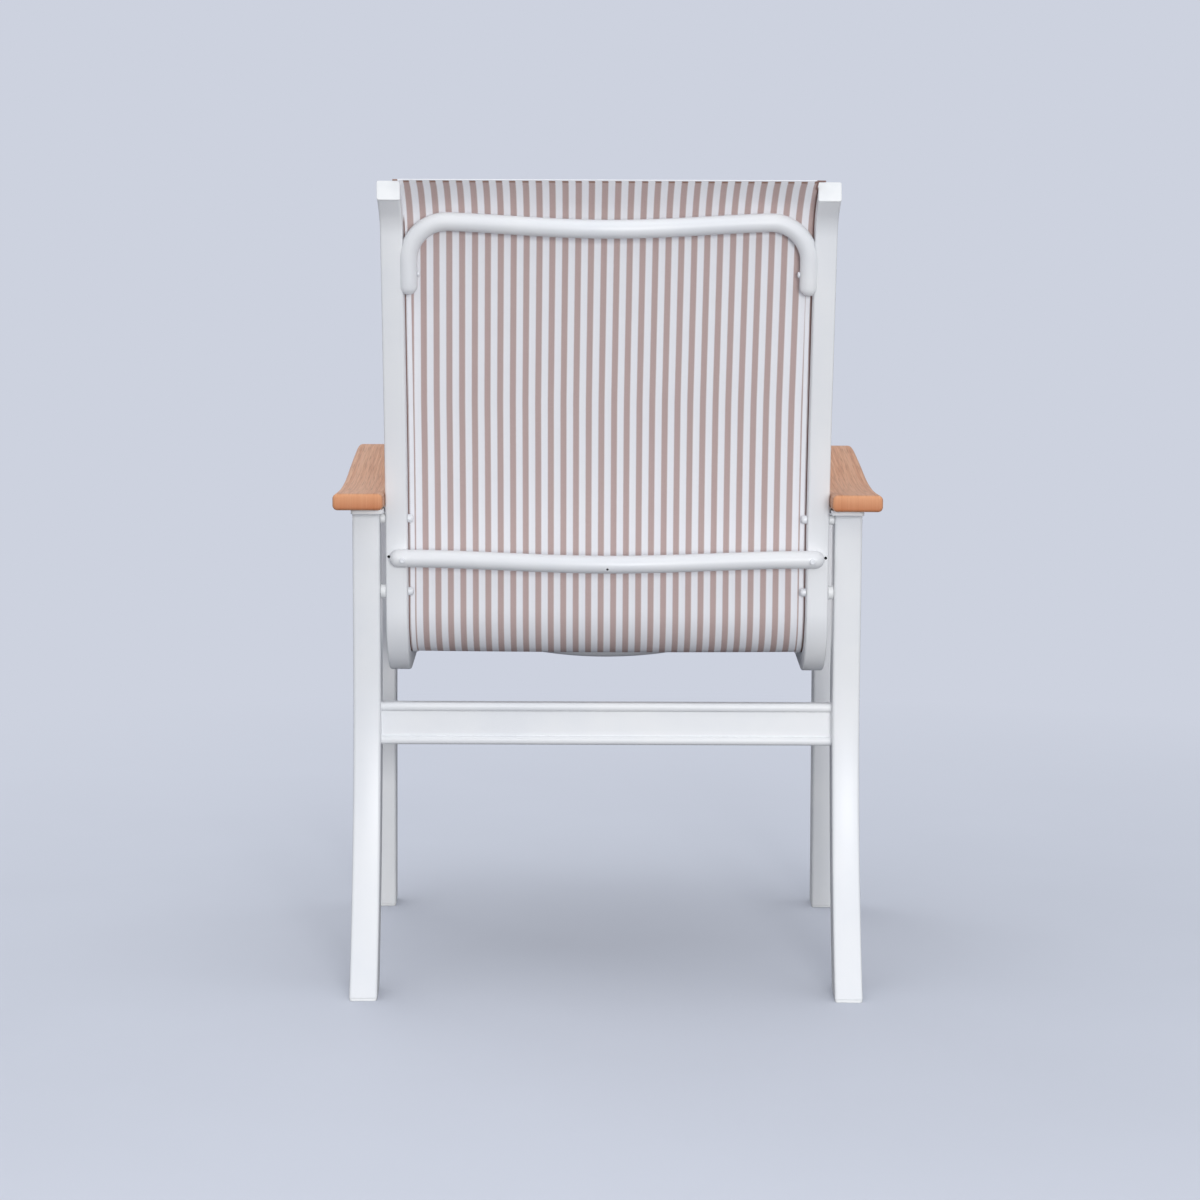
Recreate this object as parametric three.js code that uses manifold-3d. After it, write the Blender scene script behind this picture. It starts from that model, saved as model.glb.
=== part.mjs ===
// Sling patio chair: a powder-coated aluminium frame, two L-shaped rails that stretch a woven sling between
// them, and wood-look armrests. Millimetres, +Z up. The sitter faces -Y and has +X on the left.
import * as THREE from 'three';
import { mergeVertices } from 'three/addons/utils/BufferGeometryUtils.js';
import Module from 'manifold-3d';

const wasm = await Module();
wasm.setup();
const { degToRad } = THREE.MathUtils;

// Fits and cuts
const seatGap = 0.3; // between pieces that touch
const boreClearance = 0.3; // around a shank in its hole
const cutOverrun = 8; // how far a cut runs past the wall it opens

// Facets
const bendStep = degToRad(12);
const longestFacet = 80;
const cornerFacets = 2;
const tubeFacets = 12;
const fastenerFacets = 8;
const boreFacets = 8;
const probe = 0.01; // travel used to find a tangent

// Sling rails, one extrusion each
const railSpan = 512; // over both rails' outer faces
const railWidth = 25;
const railDepth = 30;
const railCorner = 2.5;
const railWall = 1.8;
const slotFromUnderside = 22.5;
const slotMouth = 3;
const slotLip = 2.2;
const slotBoreRadius = 4.25;

// Rail course in the side view, from the rolled top down the back, round the bend and along the seat
const bendUnderside = 359.5; // height of the rails' lowest point
const bendRadius = 65;
const lumbarTilt = degToRad(2.9);
const backTilt = degToRad(14);
const topTilt = degToRad(46);
const lumbarRadius = 1265;
const backStraight = 197;
const topRollRadius = 70;
const topTail = 17.7;
const seatSlope = degToRad(5.5);
const seatStraight = 379;
const frontRollRadius = 60;
const frontRollTurn = degToRad(40);
const frontTail = 12;

// Rail end plugs
const plugFlange = 2.2;
const plugTenon = 12;
const plugFit = 0.4;

// Sling and the spline rods in its hems
const slingThickness = 1.4;
const slingTopOverhang = 11.5; // past the rails' top ends
const slingFrontInset = 3;
const slingEdgeGap = 1.2; // beside the end plugs
const pocketFit = 0.35;
const pocketWall = 0.95;
const rodFit = 0.4;
const rodInset = 4; // from each end of the rail

// Side frames: legs, support bar and armrest, toed out towards the front
const toeOut = degToRad(1.7);
const legThickness = 31.8;
const legDepth = 52;
const legCorner = 3.2;
const legWall = 1.8;
const rearFootTilt = degToRad(32.8);
const rearLegLean = degToRad(5);
const rearSweepRadius = 617;
const rearLegLead = 19.6; // middle of the leg ahead of the upper bolts
const frontLegSetback = 67.1; // middle of the leg behind the rails' front ends

// Foot glides
const glideFlange = 3;
const glideTenon = 12;
const glideInset = 0.4;
const glideFit = 0.4;

// Armrests
const armLength = 590;
const armWidth = 57;
const armThickness = 19;
const armEdgeRadius = 5.5;
const armCornerRadius = 11;
const armRearReach = 142; // rear end behind the rails' bend
const armOverBolts = 12.1; // from the upper bolts to the underside of the rear ends
const armRise = 33.5; // from the rear end to the crest
const armAlongShares = [0, 0.22, 0.41, 0.61, 0.85, 0.95, 1];
const armRiseShares = [0, -0.015, 0.165, 0.57, 1, 0.955, 0.88];
const armFacets = 18;
const armSampleCount = 72;
const armRailGap = 0.5;

// Support bars under the arms
const barThickness = 5.5;
const barEndInset = 24;
const barInnerInset = 1;

// Bolts that carry the sling frame on the side frames
const boltRadius = 3;
const boltHeadRadius = 6.4; // countersunk, flush with the legs' outer faces
const boltFromUnderside = 9.5;
const lowerBoltHeight = 23.1; // above the foot of the back
const boltSpacing = 85.8; // from the lower to the upper bolts
const rearSpacerLength = 6.7;
const upperSpacerRadius = 5.8;
const lowerSpacerRadius = 8;
const frontSpacerRadius = 8;
const capNutRadius = 4.8;
const capNutHeight = 6.5;
const capNutBore = 4.4;

// Cross tubes
const upperTubeRadius = 10.5;
const lowerTubeRadius = 10.25;
const seatTubeRadius = 10.5;
const tubeWall = 1.5;
const upperTubeSeat = 5; // from the tube's axis to the side of its notch
const upperTubeInset = 6; // axis ahead of the rails' rear faces
const upperTubeDrop = 101.5; // from the rails' top ends to the turned-down ends' centres
const upperTubeRise = 74.5; // along the back, from those centres to the shoulders
const upperTubeBend = 46;
const upperTubeBow = 24;
const upperTubeSag = 4;
const upperScrewHeight = 13.5; // above those centres
const lowerTubeHeight = 42.3; // above the lower bolts, where the tube crosses the rails
const lowerTubeInset = 3.6; // its domes' centres, in from the middle of the rails
const lowerTubeBow = 22;
const lowerTubeDrop = 4.5;
const lowerScrewInset = 8; // from the middle of the rails
const weepRadius = 1.25;
const weepTurn = degToRad(28);
const seatTubeReach = 320; // ahead of the rails' bend
const seatTubeFromUnderside = 6.8;
const seatTubeSag = 51;
const tubeStraightParts = 10;

// Small screws
const screwRadius = 2;
const screwHeadRadius = 3.4;
const screwHeadHeight = 2.2;
const screwReach = 9; // past the piece that the screw holds on
const brimShare = 0.33; // of a head's height
const crownRiseShare = 0.9; // of a head's or nut's height
const screwCrownShare = 0.67; // of a head's radius
const nutShoulderShare = 0.6; // of a nut's height
const nutCrownShare = 0.7; // of a nut's radius
const railWeepRadius = 1.1;
const railWeepOutset = 8.9; // from the middle of the rails
const armScrewReach = 12;
const armScrewShares = [0.16, 0.7];

// Stretcher between the rear legs
const stretcherDrop = 33.3; // below the rails
const stretcherHeight = 49.6;
const stretcherBead = 10.4;
const stretcherDepth = 20;
const stretcherWeb = 6;
const stretcherCorner = 4.4;
const stretcherScrewRadius = 2.5;
const stretcherScrewHead = 5;
const stretcherScrewReach = 22;

const railMiddle = (railSpan - railWidth) / 2;
const railInner = railSpan / 2 - railWidth;
const lowerTubeReach = railMiddle - lowerTubeInset;
const lowerScrewSpread = railMiddle - lowerScrewInset;
const slotInward = slotFromUnderside - railDepth / 2;
const boltInward = boltFromUnderside - railDepth / 2;
const sides = [{ name: 'left', side: 1 }, { name: 'right', side: -1 }];

const chair = new THREE.Group();

// Finishes

const finish = {
  frame: () => new THREE.MeshStandardMaterial({ color: 0xeceff3, roughness: 0.42, metalness: 0 }),
  plug: () => new THREE.MeshStandardMaterial({ color: 0xf6f8f8, roughness: 0.5, metalness: 0 }),
  bolt: () => new THREE.MeshStandardMaterial({ color: 0xe4e7ea, roughness: 0.38, metalness: 0.2 }),
  arm: () => new THREE.MeshStandardMaterial({ color: 0xc4946a, roughness: 0.6, metalness: 0 }),
  sling: () => new THREE.MeshStandardMaterial({ color: 0xcabdb8, roughness: 0.85, metalness: 0 }),
  rod: () => new THREE.MeshStandardMaterial({ color: 0x9aa0a6, roughness: 0.6, metalness: 0 }),
};

function addMesh(parent, name, geometry, material) {
  const mesh = new THREE.Mesh(geometry, material());
  mesh.name = name;
  parent.add(mesh);
  return mesh;
}

// Solids

function solid(geometry) {
  const bare = geometry.clone();
  bare.deleteAttribute('normal');
  bare.deleteAttribute('uv');
  const merged = mergeVertices(bare);
  return new wasm.Manifold(new wasm.Mesh({
    numProp: 3,
    vertProperties: merged.attributes.position.array,
    triVerts: Uint32Array.from(merged.index.array),
  }));
}

function geometryOf(manifold) {
  const { vertProperties, triVerts } = manifold.getMesh();
  const geometry = new THREE.BufferGeometry();
  geometry.setAttribute('position', new THREE.BufferAttribute(vertProperties, 3));
  geometry.setIndex(new THREE.BufferAttribute(triVerts, 1));
  return geometry;
}

const cut = (geometry, tools) =>
  geometryOf(tools.reduce((rest, tool) => rest.subtract(solid(tool)), solid(geometry)));
const join = (geometry, others) =>
  geometryOf(others.reduce((sum, other) => sum.add(solid(other)), solid(geometry)));
const common = (geometry, other) => geometryOf(solid(geometry).intersect(solid(other)));

function block([x0, x1], [y0, y1], [z0, z1]) {
  return new THREE.BoxGeometry(x1 - x0, y1 - y0, z1 - z0)
    .translate((x0 + x1) / 2, (y0 + y1) / 2, (z0 + z1) / 2);
}

// A round bar from one point to another, or a taper
function bar(radius, from, to, facets = boreFacets, farRadius = radius) {
  const run = to.clone().sub(from);
  const turn = new THREE.Quaternion().setFromUnitVectors(axisY, run.clone().normalize());
  const middle = from.clone().add(to).divideScalar(2);
  return new THREE.CylinderGeometry(farRadius, radius, run.length(), facets).applyQuaternion(turn)
    .translate(...middle.toArray());
}

// Courses: lists of stations with a place and a heading in a plane

function runStations(x, y, heading, runs) {
  const stations = [{ x, y, heading }];
  const travel = (length) => {
    x += length * Math.cos(heading);
    y += length * Math.sin(heading);
    stations.push({ x, y, heading });
  };
  for (const { length = 0, parts = 1, radius = 0, turn = 0 } of runs) {
    for (let i = 0; i < parts && length > 0; i++) travel(length / parts);
    const steps = Math.ceil(Math.max(Math.abs(turn) / bendStep, radius * Math.abs(turn) / longestFacet));
    const step = turn / steps;
    for (let i = 0; i < steps; i++) {
      heading += step / 2;
      travel(2 * radius * Math.sin(Math.abs(step) / 2));
      heading += step / 2;
      stations.at(-1).heading = heading;
    }
  }
  return stations;
}

const reversed = (stations) => stations.toReversed().map((s) => ({ ...s, heading: s.heading - Math.PI }));

// The station where a course crosses a value of x or y
function stationAt(stations, axis, value) {
  const crosses = (s, i) => i > 0 && (s[axis] - value) * (stations[i - 1][axis] - value) <= 0;
  const next = stations.findIndex(crosses);
  const [from, to] = [stations[next - 1], stations[next]];
  const share = (value - from[axis]) / (to[axis] - from[axis]);
  const mix = (key) => THREE.MathUtils.lerp(from[key], to[key], share);
  return { x: mix('x'), y: mix('y'), heading: mix('heading') };
}

// A station moved to the left of its heading
function inwardFrom({ x, y, heading }, distance) {
  return { x: x - distance * Math.sin(heading), y: y + distance * Math.cos(heading), heading };
}

// Stations placed in space. A swept section keeps its first axis on the flank's side of the course
class Course extends THREE.Curve {
  constructor(stations, place, flank) {
    super();
    this.flank = flank;
    this.steps = stations.length - 1;
    this.stations = stations.map(({ x, y, heading }) => {
      const at = (travel) => place(x + travel * Math.cos(heading), y + travel * Math.sin(heading));
      return { point: at(0), tangent: at(probe).sub(at(-probe)).normalize() };
    });
  }

  getPointAt(u, target = new THREE.Vector3()) {
    return target.copy(this.stations[Math.round(u * this.steps)].point);
  }

  computeFrenetFrames() {
    const tangents = this.stations.map(({ tangent }) => tangent);
    const normals = tangents.map((tangent) =>
      this.flank.clone().addScaledVector(tangent, -tangent.dot(this.flank)).normalize());
    const binormals = tangents.map((tangent, i) => tangent.clone().cross(normals[i]));
    return { tangents, normals, binormals };
  }
}

const axisX = new THREE.Vector3(1, 0, 0);
const axisY = new THREE.Vector3(0, 1, 0);
const axisZ = new THREE.Vector3(0, 0, 1);

// In the side view x is forward and y is up
const sideView = (x, y) => new THREE.Vector3(0, -x, y);
const sideCourse = (stations) => new Course(stations, sideView, axisX.clone().negate());

function sweep(course, outline, holes = []) {
  const shape = new THREE.Shape(THREE.ShapeUtils.isClockWise(outline) ? outline.toReversed() : outline);
  shape.holes = holes.map((points) => new THREE.Path(points));
  return new THREE.ExtrudeGeometry(shape, { steps: course.steps, extrudePath: course, bevelEnabled: false });
}

// Section points are [outward, inward]: away from the chair's middle, and towards the sitter
const section = (points, side = 1) => points.map(([out, inward]) => new THREE.Vector2(-side * out, -inward));

function arcPoints(radius, [x, y], from, to, facets) {
  const angles = Array.from({ length: facets + 1 }, (_, i) => THREE.MathUtils.lerp(from, to, i / facets));
  return angles.map((angle) => [x + radius * Math.cos(angle), y + radius * Math.sin(angle)]);
}

const circle = (radius, centre = [0, 0], facets = tubeFacets) =>
  arcPoints(radius, centre, 0, 2 * Math.PI, facets).slice(1);

function roundedRectangle([x0, x1], [y0, y1], corner) {
  const centres = [[x1 - corner, y1 - corner], [x0 + corner, y1 - corner], [x0 + corner, y0 + corner],
    [x1 - corner, y0 + corner]];
  return centres.flatMap((centre, quarter) =>
    arcPoints(corner, centre, quarter * Math.PI / 2, (quarter + 1) * Math.PI / 2, cornerFacets));
}

const rectangle = ([x0, x1], [y0, y1]) => [[x1, y1], [x0, y1], [x0, y0], [x1, y0]];
const around = (half) => [-half, half];
const outwards = (side, from, to) => (side > 0 ? [from, to] : [-to, -from]);

// Rail courses

function backStations(tail) {
  const start = bendStart();
  const runs = [{ radius: lumbarRadius, turn: backTilt - lumbarTilt }, { length: backStraight },
    { radius: topRollRadius, turn: topTilt - backTilt }, { length: tail }];
  return reversed(runStations(start.x, start.y, start.heading + Math.PI, runs));
}

function seatStations(tail) {
  const start = bendStart();
  const runs = [{ radius: bendRadius, turn: seatSlope - start.heading }, { length: seatStraight },
    { radius: frontRollRadius, turn: -frontRollTurn }, { length: tail }];
  return runStations(start.x, start.y, start.heading, runs);
}

function bendStart() {
  const centre = { x: 0, y: bendUnderside + railDepth / 2 + bendRadius, heading: lumbarTilt - Math.PI / 2 };
  return inwardFrom(centre, -bendRadius);
}

// The whole rail, each end drawn in by an inset
const railStations = (topInset = 0, frontInset = topInset) =>
  [...backStations(topTail - topInset), ...seatStations(frontTail - frontInset).slice(1)];

const back = backStations(topTail);
const seat = seatStations(frontTail);
const topEnd = back[0];
const backFoot = back.at(-1);
const frontEnd = seat.at(-1);

// Two stations on the line through a rail's end, by their travel past it
const stub = (end, ...travels) => sideCourse(travels.map((travel) => ({
  x: end.x + travel * Math.cos(end.heading),
  y: end.y + travel * Math.sin(end.heading),
  heading: end.heading,
})));

// Places of the bolts in the side view
const lowerBoltLevel = backFoot.y + lowerBoltHeight;
const upperBoltLevel = lowerBoltLevel + boltSpacing;
const frontLegReach = frontEnd.x - frontLegSetback;
const upperBolt = inwardFrom(stationAt(back, 'y', upperBoltLevel), boltInward);
const lowerBolt = inwardFrom(stationAt(back, 'y', lowerBoltLevel), boltInward);
const frontBolt = inwardFrom(stationAt(seat, 'x', frontLegReach), boltInward);

// Side frames stand off the rails by the rear spacers, and widen towards the front
const frameInner = (forward) => railSpan / 2 + rearSpacerLength + (forward - upperBolt.x) * Math.tan(toeOut);

function sideFrame(side) {
  const frame = new THREE.Group();
  frame.position.set(side * frameInner(0), 0, 0);
  frame.rotation.z = side * toeOut;
  frame.updateMatrixWorld();
  chair.add(frame);
  return frame;
}

const frames = sides.map(({ side }) => sideFrame(side));
const toFrame = (geometry, frame) => geometry.clone().applyMatrix4(frame.matrixWorld.clone().invert());

// Holes and fastener axes that run across the chair
const across = (x, station) => new THREE.Vector3(x, -station.x, station.y);
const crossBore = (radius, side, station, from, to) =>
  bar(radius + boreClearance, across(side * from, station), across(side * to, station));

// Heads are sunk in the legs' outer faces, as deep as they stand out from their shanks
const headPlane = (headRadius, station) =>
  frameInner(station.x) + legThickness / Math.cos(toeOut) - headRadius * Math.tan(toeOut);

function countersink(radius, headRadius, side, station) {
  const depth = headRadius - radius;
  const plane = headPlane(headRadius, station);
  const bottom = across(side * (plane - depth), station);
  const mouth = across(side * (plane + cutOverrun), station);
  return bar(radius + boreClearance, bottom, mouth, boreFacets, headRadius + boreClearance + cutOverrun);
}

// Cross tube courses

const upperEnd = railInner - seatGap - upperTubeSeat;
const upperFoot = topEnd.y - upperTubeDrop;
const upperBase = inwardFrom(stationAt(back, 'y', upperFoot), upperTubeInset - railDepth / 2);
const easeAcross = (x, reach) => Math.cos(Math.PI * x / (2 * reach)) ** 2;

function upperTubeCourse() {
  const upwards = new THREE.Vector3(0, Math.sin(backTilt), Math.cos(backTilt));
  const backwards = new THREE.Vector3(0, Math.cos(backTilt), -Math.sin(backTilt));
  const place = (x, y) => {
    const ease = easeAcross(x, upperEnd);
    return across(x, upperBase).addScaledVector(upwards, y - upperTubeSag * ease)
      .addScaledVector(backwards, upperTubeBow * ease);
  };
  const leg = { length: upperTubeRise - upperTubeBend };
  const bend = { radius: upperTubeBend, turn: -Math.PI / 2 };
  const top = { length: 2 * (upperEnd - upperTubeBend), parts: tubeStraightParts };
  return new Course(runStations(-upperEnd, 0, Math.PI / 2, [leg, bend, top, bend, leg]), place, backwards);
}

const lowerRail = stationAt(back, 'y', lowerBoltLevel + lowerTubeHeight);
const lowerBase = inwardFrom(lowerRail, -railDepth / 2 - seatGap - lowerTubeRadius);

function lowerTubeCourse() {
  const place = (x) => {
    const ease = easeAcross(x, lowerTubeReach);
    return across(x, lowerBase).add(new THREE.Vector3(0, lowerTubeBow * ease, -lowerTubeDrop * ease));
  };
  const run = { length: 2 * lowerTubeReach, parts: tubeStraightParts };
  return new Course(runStations(-lowerTubeReach, 0, 0, [run]), place, axisZ);
}

const seatRail = stationAt(seat, 'x', seatTubeReach);
const seatBase = inwardFrom(seatRail, seatTubeFromUnderside - railDepth / 2);

function seatTubeCourse() {
  const half = railInner + cutOverrun;
  const radius = (railInner ** 2 + seatTubeSag ** 2) / (2 * seatTubeSag);
  const turn = 2 * Math.asin(half / radius);
  const middle = { x: 0, y: radius - seatTubeSag };
  const start = { x: middle.x - half, y: middle.y - Math.sqrt(radius ** 2 - half ** 2) };
  const place = (x, y) => across(x, seatBase).add(new THREE.Vector3(0, 0, y));
  return new Course(runStations(start.x, start.y, -turn / 2, [{ radius, turn }]), place, axisY);
}

// A hollow tube with domed ends
function domedTube(course, radius, wall) {
  const outside = sweep(course, section(circle(radius)));
  const domes = [course.stations[0], course.stations.at(-1)].map(({ point }) =>
    new THREE.SphereGeometry(radius * Math.cos(Math.PI / tubeFacets), tubeFacets, tubeFacets / 2)
      .translate(...point.toArray()));
  return cut(join(outside, domes), [sweep(course, section(circle(radius - wall, [0, 0], boreFacets)))]);
}

// Everything past the rails' inner faces
const pastRails = (gap) => sides.map(({ side }) =>
  block(outwards(side, railInner - gap, railSpan / 2 + cutOverrun), around(railSpan), [0, 2 * railSpan]));

// The rails of the back, with a gap round them
const roundBackRails = (gap) => sides.map(({ side }) => {
  const reach = outwards(side, railInner - gap, railSpan / 2 + cutOverrun);
  return sweep(sideCourse(back), section(rectangle(reach, [-railDepth / 2 - gap, 2 * railDepth])));
});

// Fasteners

// Turned pieces are drawn from their seat, with the axis pointing out along +Y
const turned = (points) =>
  new THREE.LatheGeometry(points.map(([radius, along]) => new THREE.Vector2(radius, along)), fastenerFacets);

function screwGeometry(radius, length, headRadius, headHeight) {
  return turned([[0, -length], [radius, -length], [radius, 0], [headRadius, 0],
    [headRadius, headHeight * brimShare],
    [headRadius * screwCrownShare, headHeight * crownRiseShare], [0, headHeight]]);
}

const smallScrew = (length) => screwGeometry(screwRadius, length, screwHeadRadius, screwHeadHeight);
const sunkScrew = (radius, length, headRadius) =>
  turned([[0, -length], [radius, -length], [radius, radius - headRadius], [headRadius, 0], [0, 0]]);

function spacerGeometry(radius, length) {
  const bore = boltRadius + boreClearance;
  return turned([[bore, 0], [radius, 0], [radius, length], [bore, length], [bore, 0]]);
}

function capNutGeometry() {
  const bore = boltRadius + boreClearance;
  return turned([[0, capNutBore], [bore, capNutBore], [bore, 0], [capNutRadius, 0],
    [capNutRadius, capNutHeight * nutShoulderShare],
    [capNutRadius * nutCrownShare, capNutHeight * crownRiseShare], [0, capNutHeight]]);
}

// Stands a turned piece on a point, its axis along a direction
function stand(mesh, point, direction) {
  mesh.position.copy(point);
  mesh.quaternion.setFromUnitVectors(axisY, direction.clone().normalize());
}

// Sling rails

function railOutline() {
  const mouth = slotMouth / 2;
  const boreCentre = [boreOut, slotInward];
  const opening = Math.PI - Math.asin(mouth / slotBoreRadius);
  const corners = roundedRectangle(around(railWidth / 2), around(railDepth / 2), railCorner);
  const leftSide = cornerFacets * 2 + 2;
  const bore = arcPoints(slotBoreRadius, boreCentre, opening, -opening, boreFacets);
  const slot = [[-railWidth / 2, slotInward + mouth], ...bore, [-railWidth / 2, slotInward - mouth]];
  return [...corners.slice(0, leftSide), ...slot, ...corners.slice(leftSide)];
}

const boreOut = slotLip - railWidth / 2 + Math.sqrt(slotBoreRadius ** 2 - (slotMouth / 2) ** 2);
const chamberTop = slotInward - slotBoreRadius - railWall;
const chamber = (fit) => rectangle(around(railWidth / 2 - railWall - fit),
  [railWall - railDepth / 2 + fit, chamberTop - fit]);
const upperChamber = (fit) =>
  rectangle([boreOut + slotBoreRadius + railWall + fit, railWidth / 2 - railWall - fit],
    [chamberTop + railWall + fit, railDepth / 2 - railWall - fit]);

const upperScrew = inwardFrom(stationAt(back, 'y', upperFoot + upperScrewHeight),
  upperTubeInset - railDepth / 2);
const acrossRail = [railInner - cutOverrun, railSpan / 2 + cutOverrun];
const innerWall = [railInner - cutOverrun, railInner + 2 * railWall];

// Holes through a rail's rear face only
function rearFaceBore(radius, x) {
  const outside = inwardFrom(lowerRail, -railDepth / 2 - cutOverrun);
  const inside = inwardFrom(lowerRail, 2 * railWall - railDepth / 2);
  return bar(radius, across(x, outside), across(x, inside));
}

for (const { name, side } of sides) {
  const course = sideCourse(railStations());
  const hollows = [section(chamber(0), side), section(upperChamber(0), side)];
  const extrusion = sweep(course, section(railOutline(), side), hollows).translate(side * railMiddle, 0, 0);
  const holes = [
    ...[upperBolt, lowerBolt, frontBolt].map((bolt) => crossBore(boltRadius, side, bolt, ...acrossRail)),
    crossBore(screwRadius, side, seatBase, ...acrossRail),
    crossBore(screwRadius, side, upperScrew, ...innerWall),
    rearFaceBore(screwRadius + boreClearance, side * lowerScrewSpread),
    rearFaceBore(railWeepRadius, side * (railMiddle + railWeepOutset)),
  ];
  addMesh(chair, `sling_rail_${name}`, cut(extrusion, holes), finish.frame);
}

// Rail end plugs: a flange over the rail's end, with tenons in its two chambers

for (const { name, side } of sides) {
  for (const [end, label, outward] of [[topEnd, 'top', -1], [frontEnd, 'front', 1]]) {
    const along = (...travels) =>
      stub(end, ...travels.map((travel) => travel * outward).sort((a, b) => a - b));
    const outline = section(roundedRectangle(around(railWidth / 2), around(railDepth / 2), railCorner), side);
    const flange = sweep(along(seatGap, seatGap + plugFlange), outline);
    const tenons = [chamber(plugFit), upperChamber(plugFit)].map((points) =>
      sweep(along(-plugTenon, seatGap + plugFlange / 2), section(points, side)));
    const geometry = join(flange, tenons).translate(side * railMiddle, 0, 0);
    addMesh(chair, `rail_plug_${label}_${name}`, geometry, finish.plug);
  }
}

// Sling: one sheet between the rails with a pocket round a spline rod in each rail's slot

const boreX = railMiddle + boreOut;
const pocketRadius = slotBoreRadius - pocketFit;
const rodRadius = pocketRadius - pocketWall - rodFit;

function slingOutline() {
  const half = slingThickness / 2;
  const meet = Math.asin(half / pocketRadius);
  const right = arcPoints(pocketRadius, [boreX, slotInward], meet - Math.PI, Math.PI - meet, boreFacets);
  const left = arcPoints(pocketRadius, [-boreX, slotInward], meet, 2 * Math.PI - meet, boreFacets);
  return [...right, ...left];
}

function slingGeometry() {
  const pockets = [1, -1].map((side) =>
    section(circle(pocketRadius - pocketWall, [side * boreX, slotInward], boreFacets)));
  const stations = railStations(-slingTopOverhang, slingFrontInset);
  const sheet = sweep(sideCourse(stations), section(slingOutline()), pockets);
  const pastTop = stub(topEnd, -slingTopOverhang - cutOverrun, slingEdgeGap);
  const besidePlugs = sides.map(({ side }) => {
    const reach = outwards(side, railInner - slingEdgeGap, railSpan / 2);
    return sweep(pastTop, section(rectangle(reach, around(railDepth))));
  });
  return cut(sheet, besidePlugs);
}

addMesh(chair, 'sling', slingGeometry(), finish.sling);

for (const { name, side } of sides) {
  const outline = section(circle(rodRadius, [side * boreX, slotInward], boreFacets));
  addMesh(chair, `spline_rod_${name}`, sweep(sideCourse(railStations(rodInset)), outline), finish.rod);
}

// Cross tubes

const upperHoles = sides.map(({ side }) =>
  crossBore(screwRadius, side, upperScrew, upperEnd - upperTubeRadius - cutOverrun, railInner));
const upperTube = domedTube(upperTubeCourse(), upperTubeRadius, tubeWall);
addMesh(chair, 'upper_cross_tube', cut(upperTube, [...roundBackRails(seatGap), ...upperHoles]), finish.frame);

const lowerOutside = inwardFrom(lowerBase, -lowerTubeRadius - cutOverrun);
const lowerInside = inwardFrom(lowerBase, lowerTubeRadius + cutOverrun);
const lowerHoles = [1, -1].map((side) => bar(screwRadius + boreClearance,
  across(side * lowerScrewSpread, lowerOutside), across(side * lowerScrewSpread, lowerInside)));
const lowerMiddle = lowerTubeCourse().stations[tubeStraightParts / 2].point;
const weepOut = new THREE.Vector3(0, Math.cos(weepTurn), -Math.sin(weepTurn))
  .multiplyScalar(lowerTubeRadius + cutOverrun);
const weep = bar(weepRadius, lowerMiddle, lowerMiddle.clone().add(weepOut));
const lowerTube = domedTube(lowerTubeCourse(), lowerTubeRadius, tubeWall);
addMesh(chair, 'lower_cross_tube', cut(lowerTube, [...lowerHoles, weep]), finish.frame);

const seatTubeBore = section(circle(seatTubeRadius - tubeWall, [0, 0], boreFacets));
const seatTube = sweep(seatTubeCourse(), section(circle(seatTubeRadius)), [seatTubeBore]);
addMesh(chair, 'under_seat_tube', cut(seatTube, pastRails(seatGap)), finish.frame);

// Side frame courses

const armRearUnderside = upperBoltLevel + armOverBolts;

// A rear leg sweeps up from its foot and passes the upper bolt. Both legs start longer than they end
function rearLeg() {
  const sweepRise = rearSweepRadius * (Math.sin(rearFootTilt) + Math.sin(rearLegLean));
  const runs = [{ radius: rearSweepRadius, turn: rearFootTilt + rearLegLean },
    { length: armRearUnderside - sweepRise + legDepth }];
  const stations = runStations(0, -legDepth / 2 * Math.sin(rearFootTilt), Math.PI / 2 - rearFootTilt, runs);
  const shift = upperBolt.x + rearLegLead - stationAt(stations, 'y', upperBolt.y).x;
  return stations.map((station) => ({ ...station, x: station.x + shift }));
}

const rearLegStations = rearLeg();
const frontLegStations = runStations(frontLegReach, 0, Math.PI / 2, [{ length: armRearUnderside + armRise }]);

const armSpline = new THREE.SplineCurve(armAlongShares.map((share, i) =>
  new THREE.Vector2(armLength * share, armRise * armRiseShares[i])));

// The arm's course runs through the middle of its thickness
const armSamples = Array.from({ length: armSampleCount + 1 }, (_, i) => {
  const { x, y } = armSpline.getPoint(i / armSampleCount);
  const tangent = armSpline.getTangent(i / armSampleCount);
  const heading = Math.atan2(tangent.y, tangent.x);
  return { x: x - armRearReach, y: y + armRearUnderside + armThickness / 2, heading };
});

const armStation = (travel) => stationAt(armSamples, 'x', travel - armRearReach);
const armCourse = sideCourse(Array.from({ length: armFacets + 1 }, (_, i) =>
  armStation(armLength * i / armFacets)));

// Heights from the arm's course, and distances out from the leg's inner face
const barTop = -armThickness / 2 - seatGap;
const barUnderside = barTop - barThickness;
const armInner = armRailGap - rearSpacerLength + boltFromUnderside * Math.tan(toeOut);
const armMiddle = armInner + armWidth / 2;

// Stretcher: a bead along the top and the bottom edge of a thin web

const stretcherTop = bendUnderside - stretcherDrop;
const stretcherMiddle = stationAt(rearLegStations, 'y', stretcherTop - stretcherHeight / 2);
const stretcherScrews = around((stretcherHeight - stretcherBead) / 2).map((rise) =>
  ({ x: stretcherMiddle.x, y: stretcherMiddle.y + rise }));
const stretcherHalf = frameInner(stretcherMiddle.x);

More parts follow.
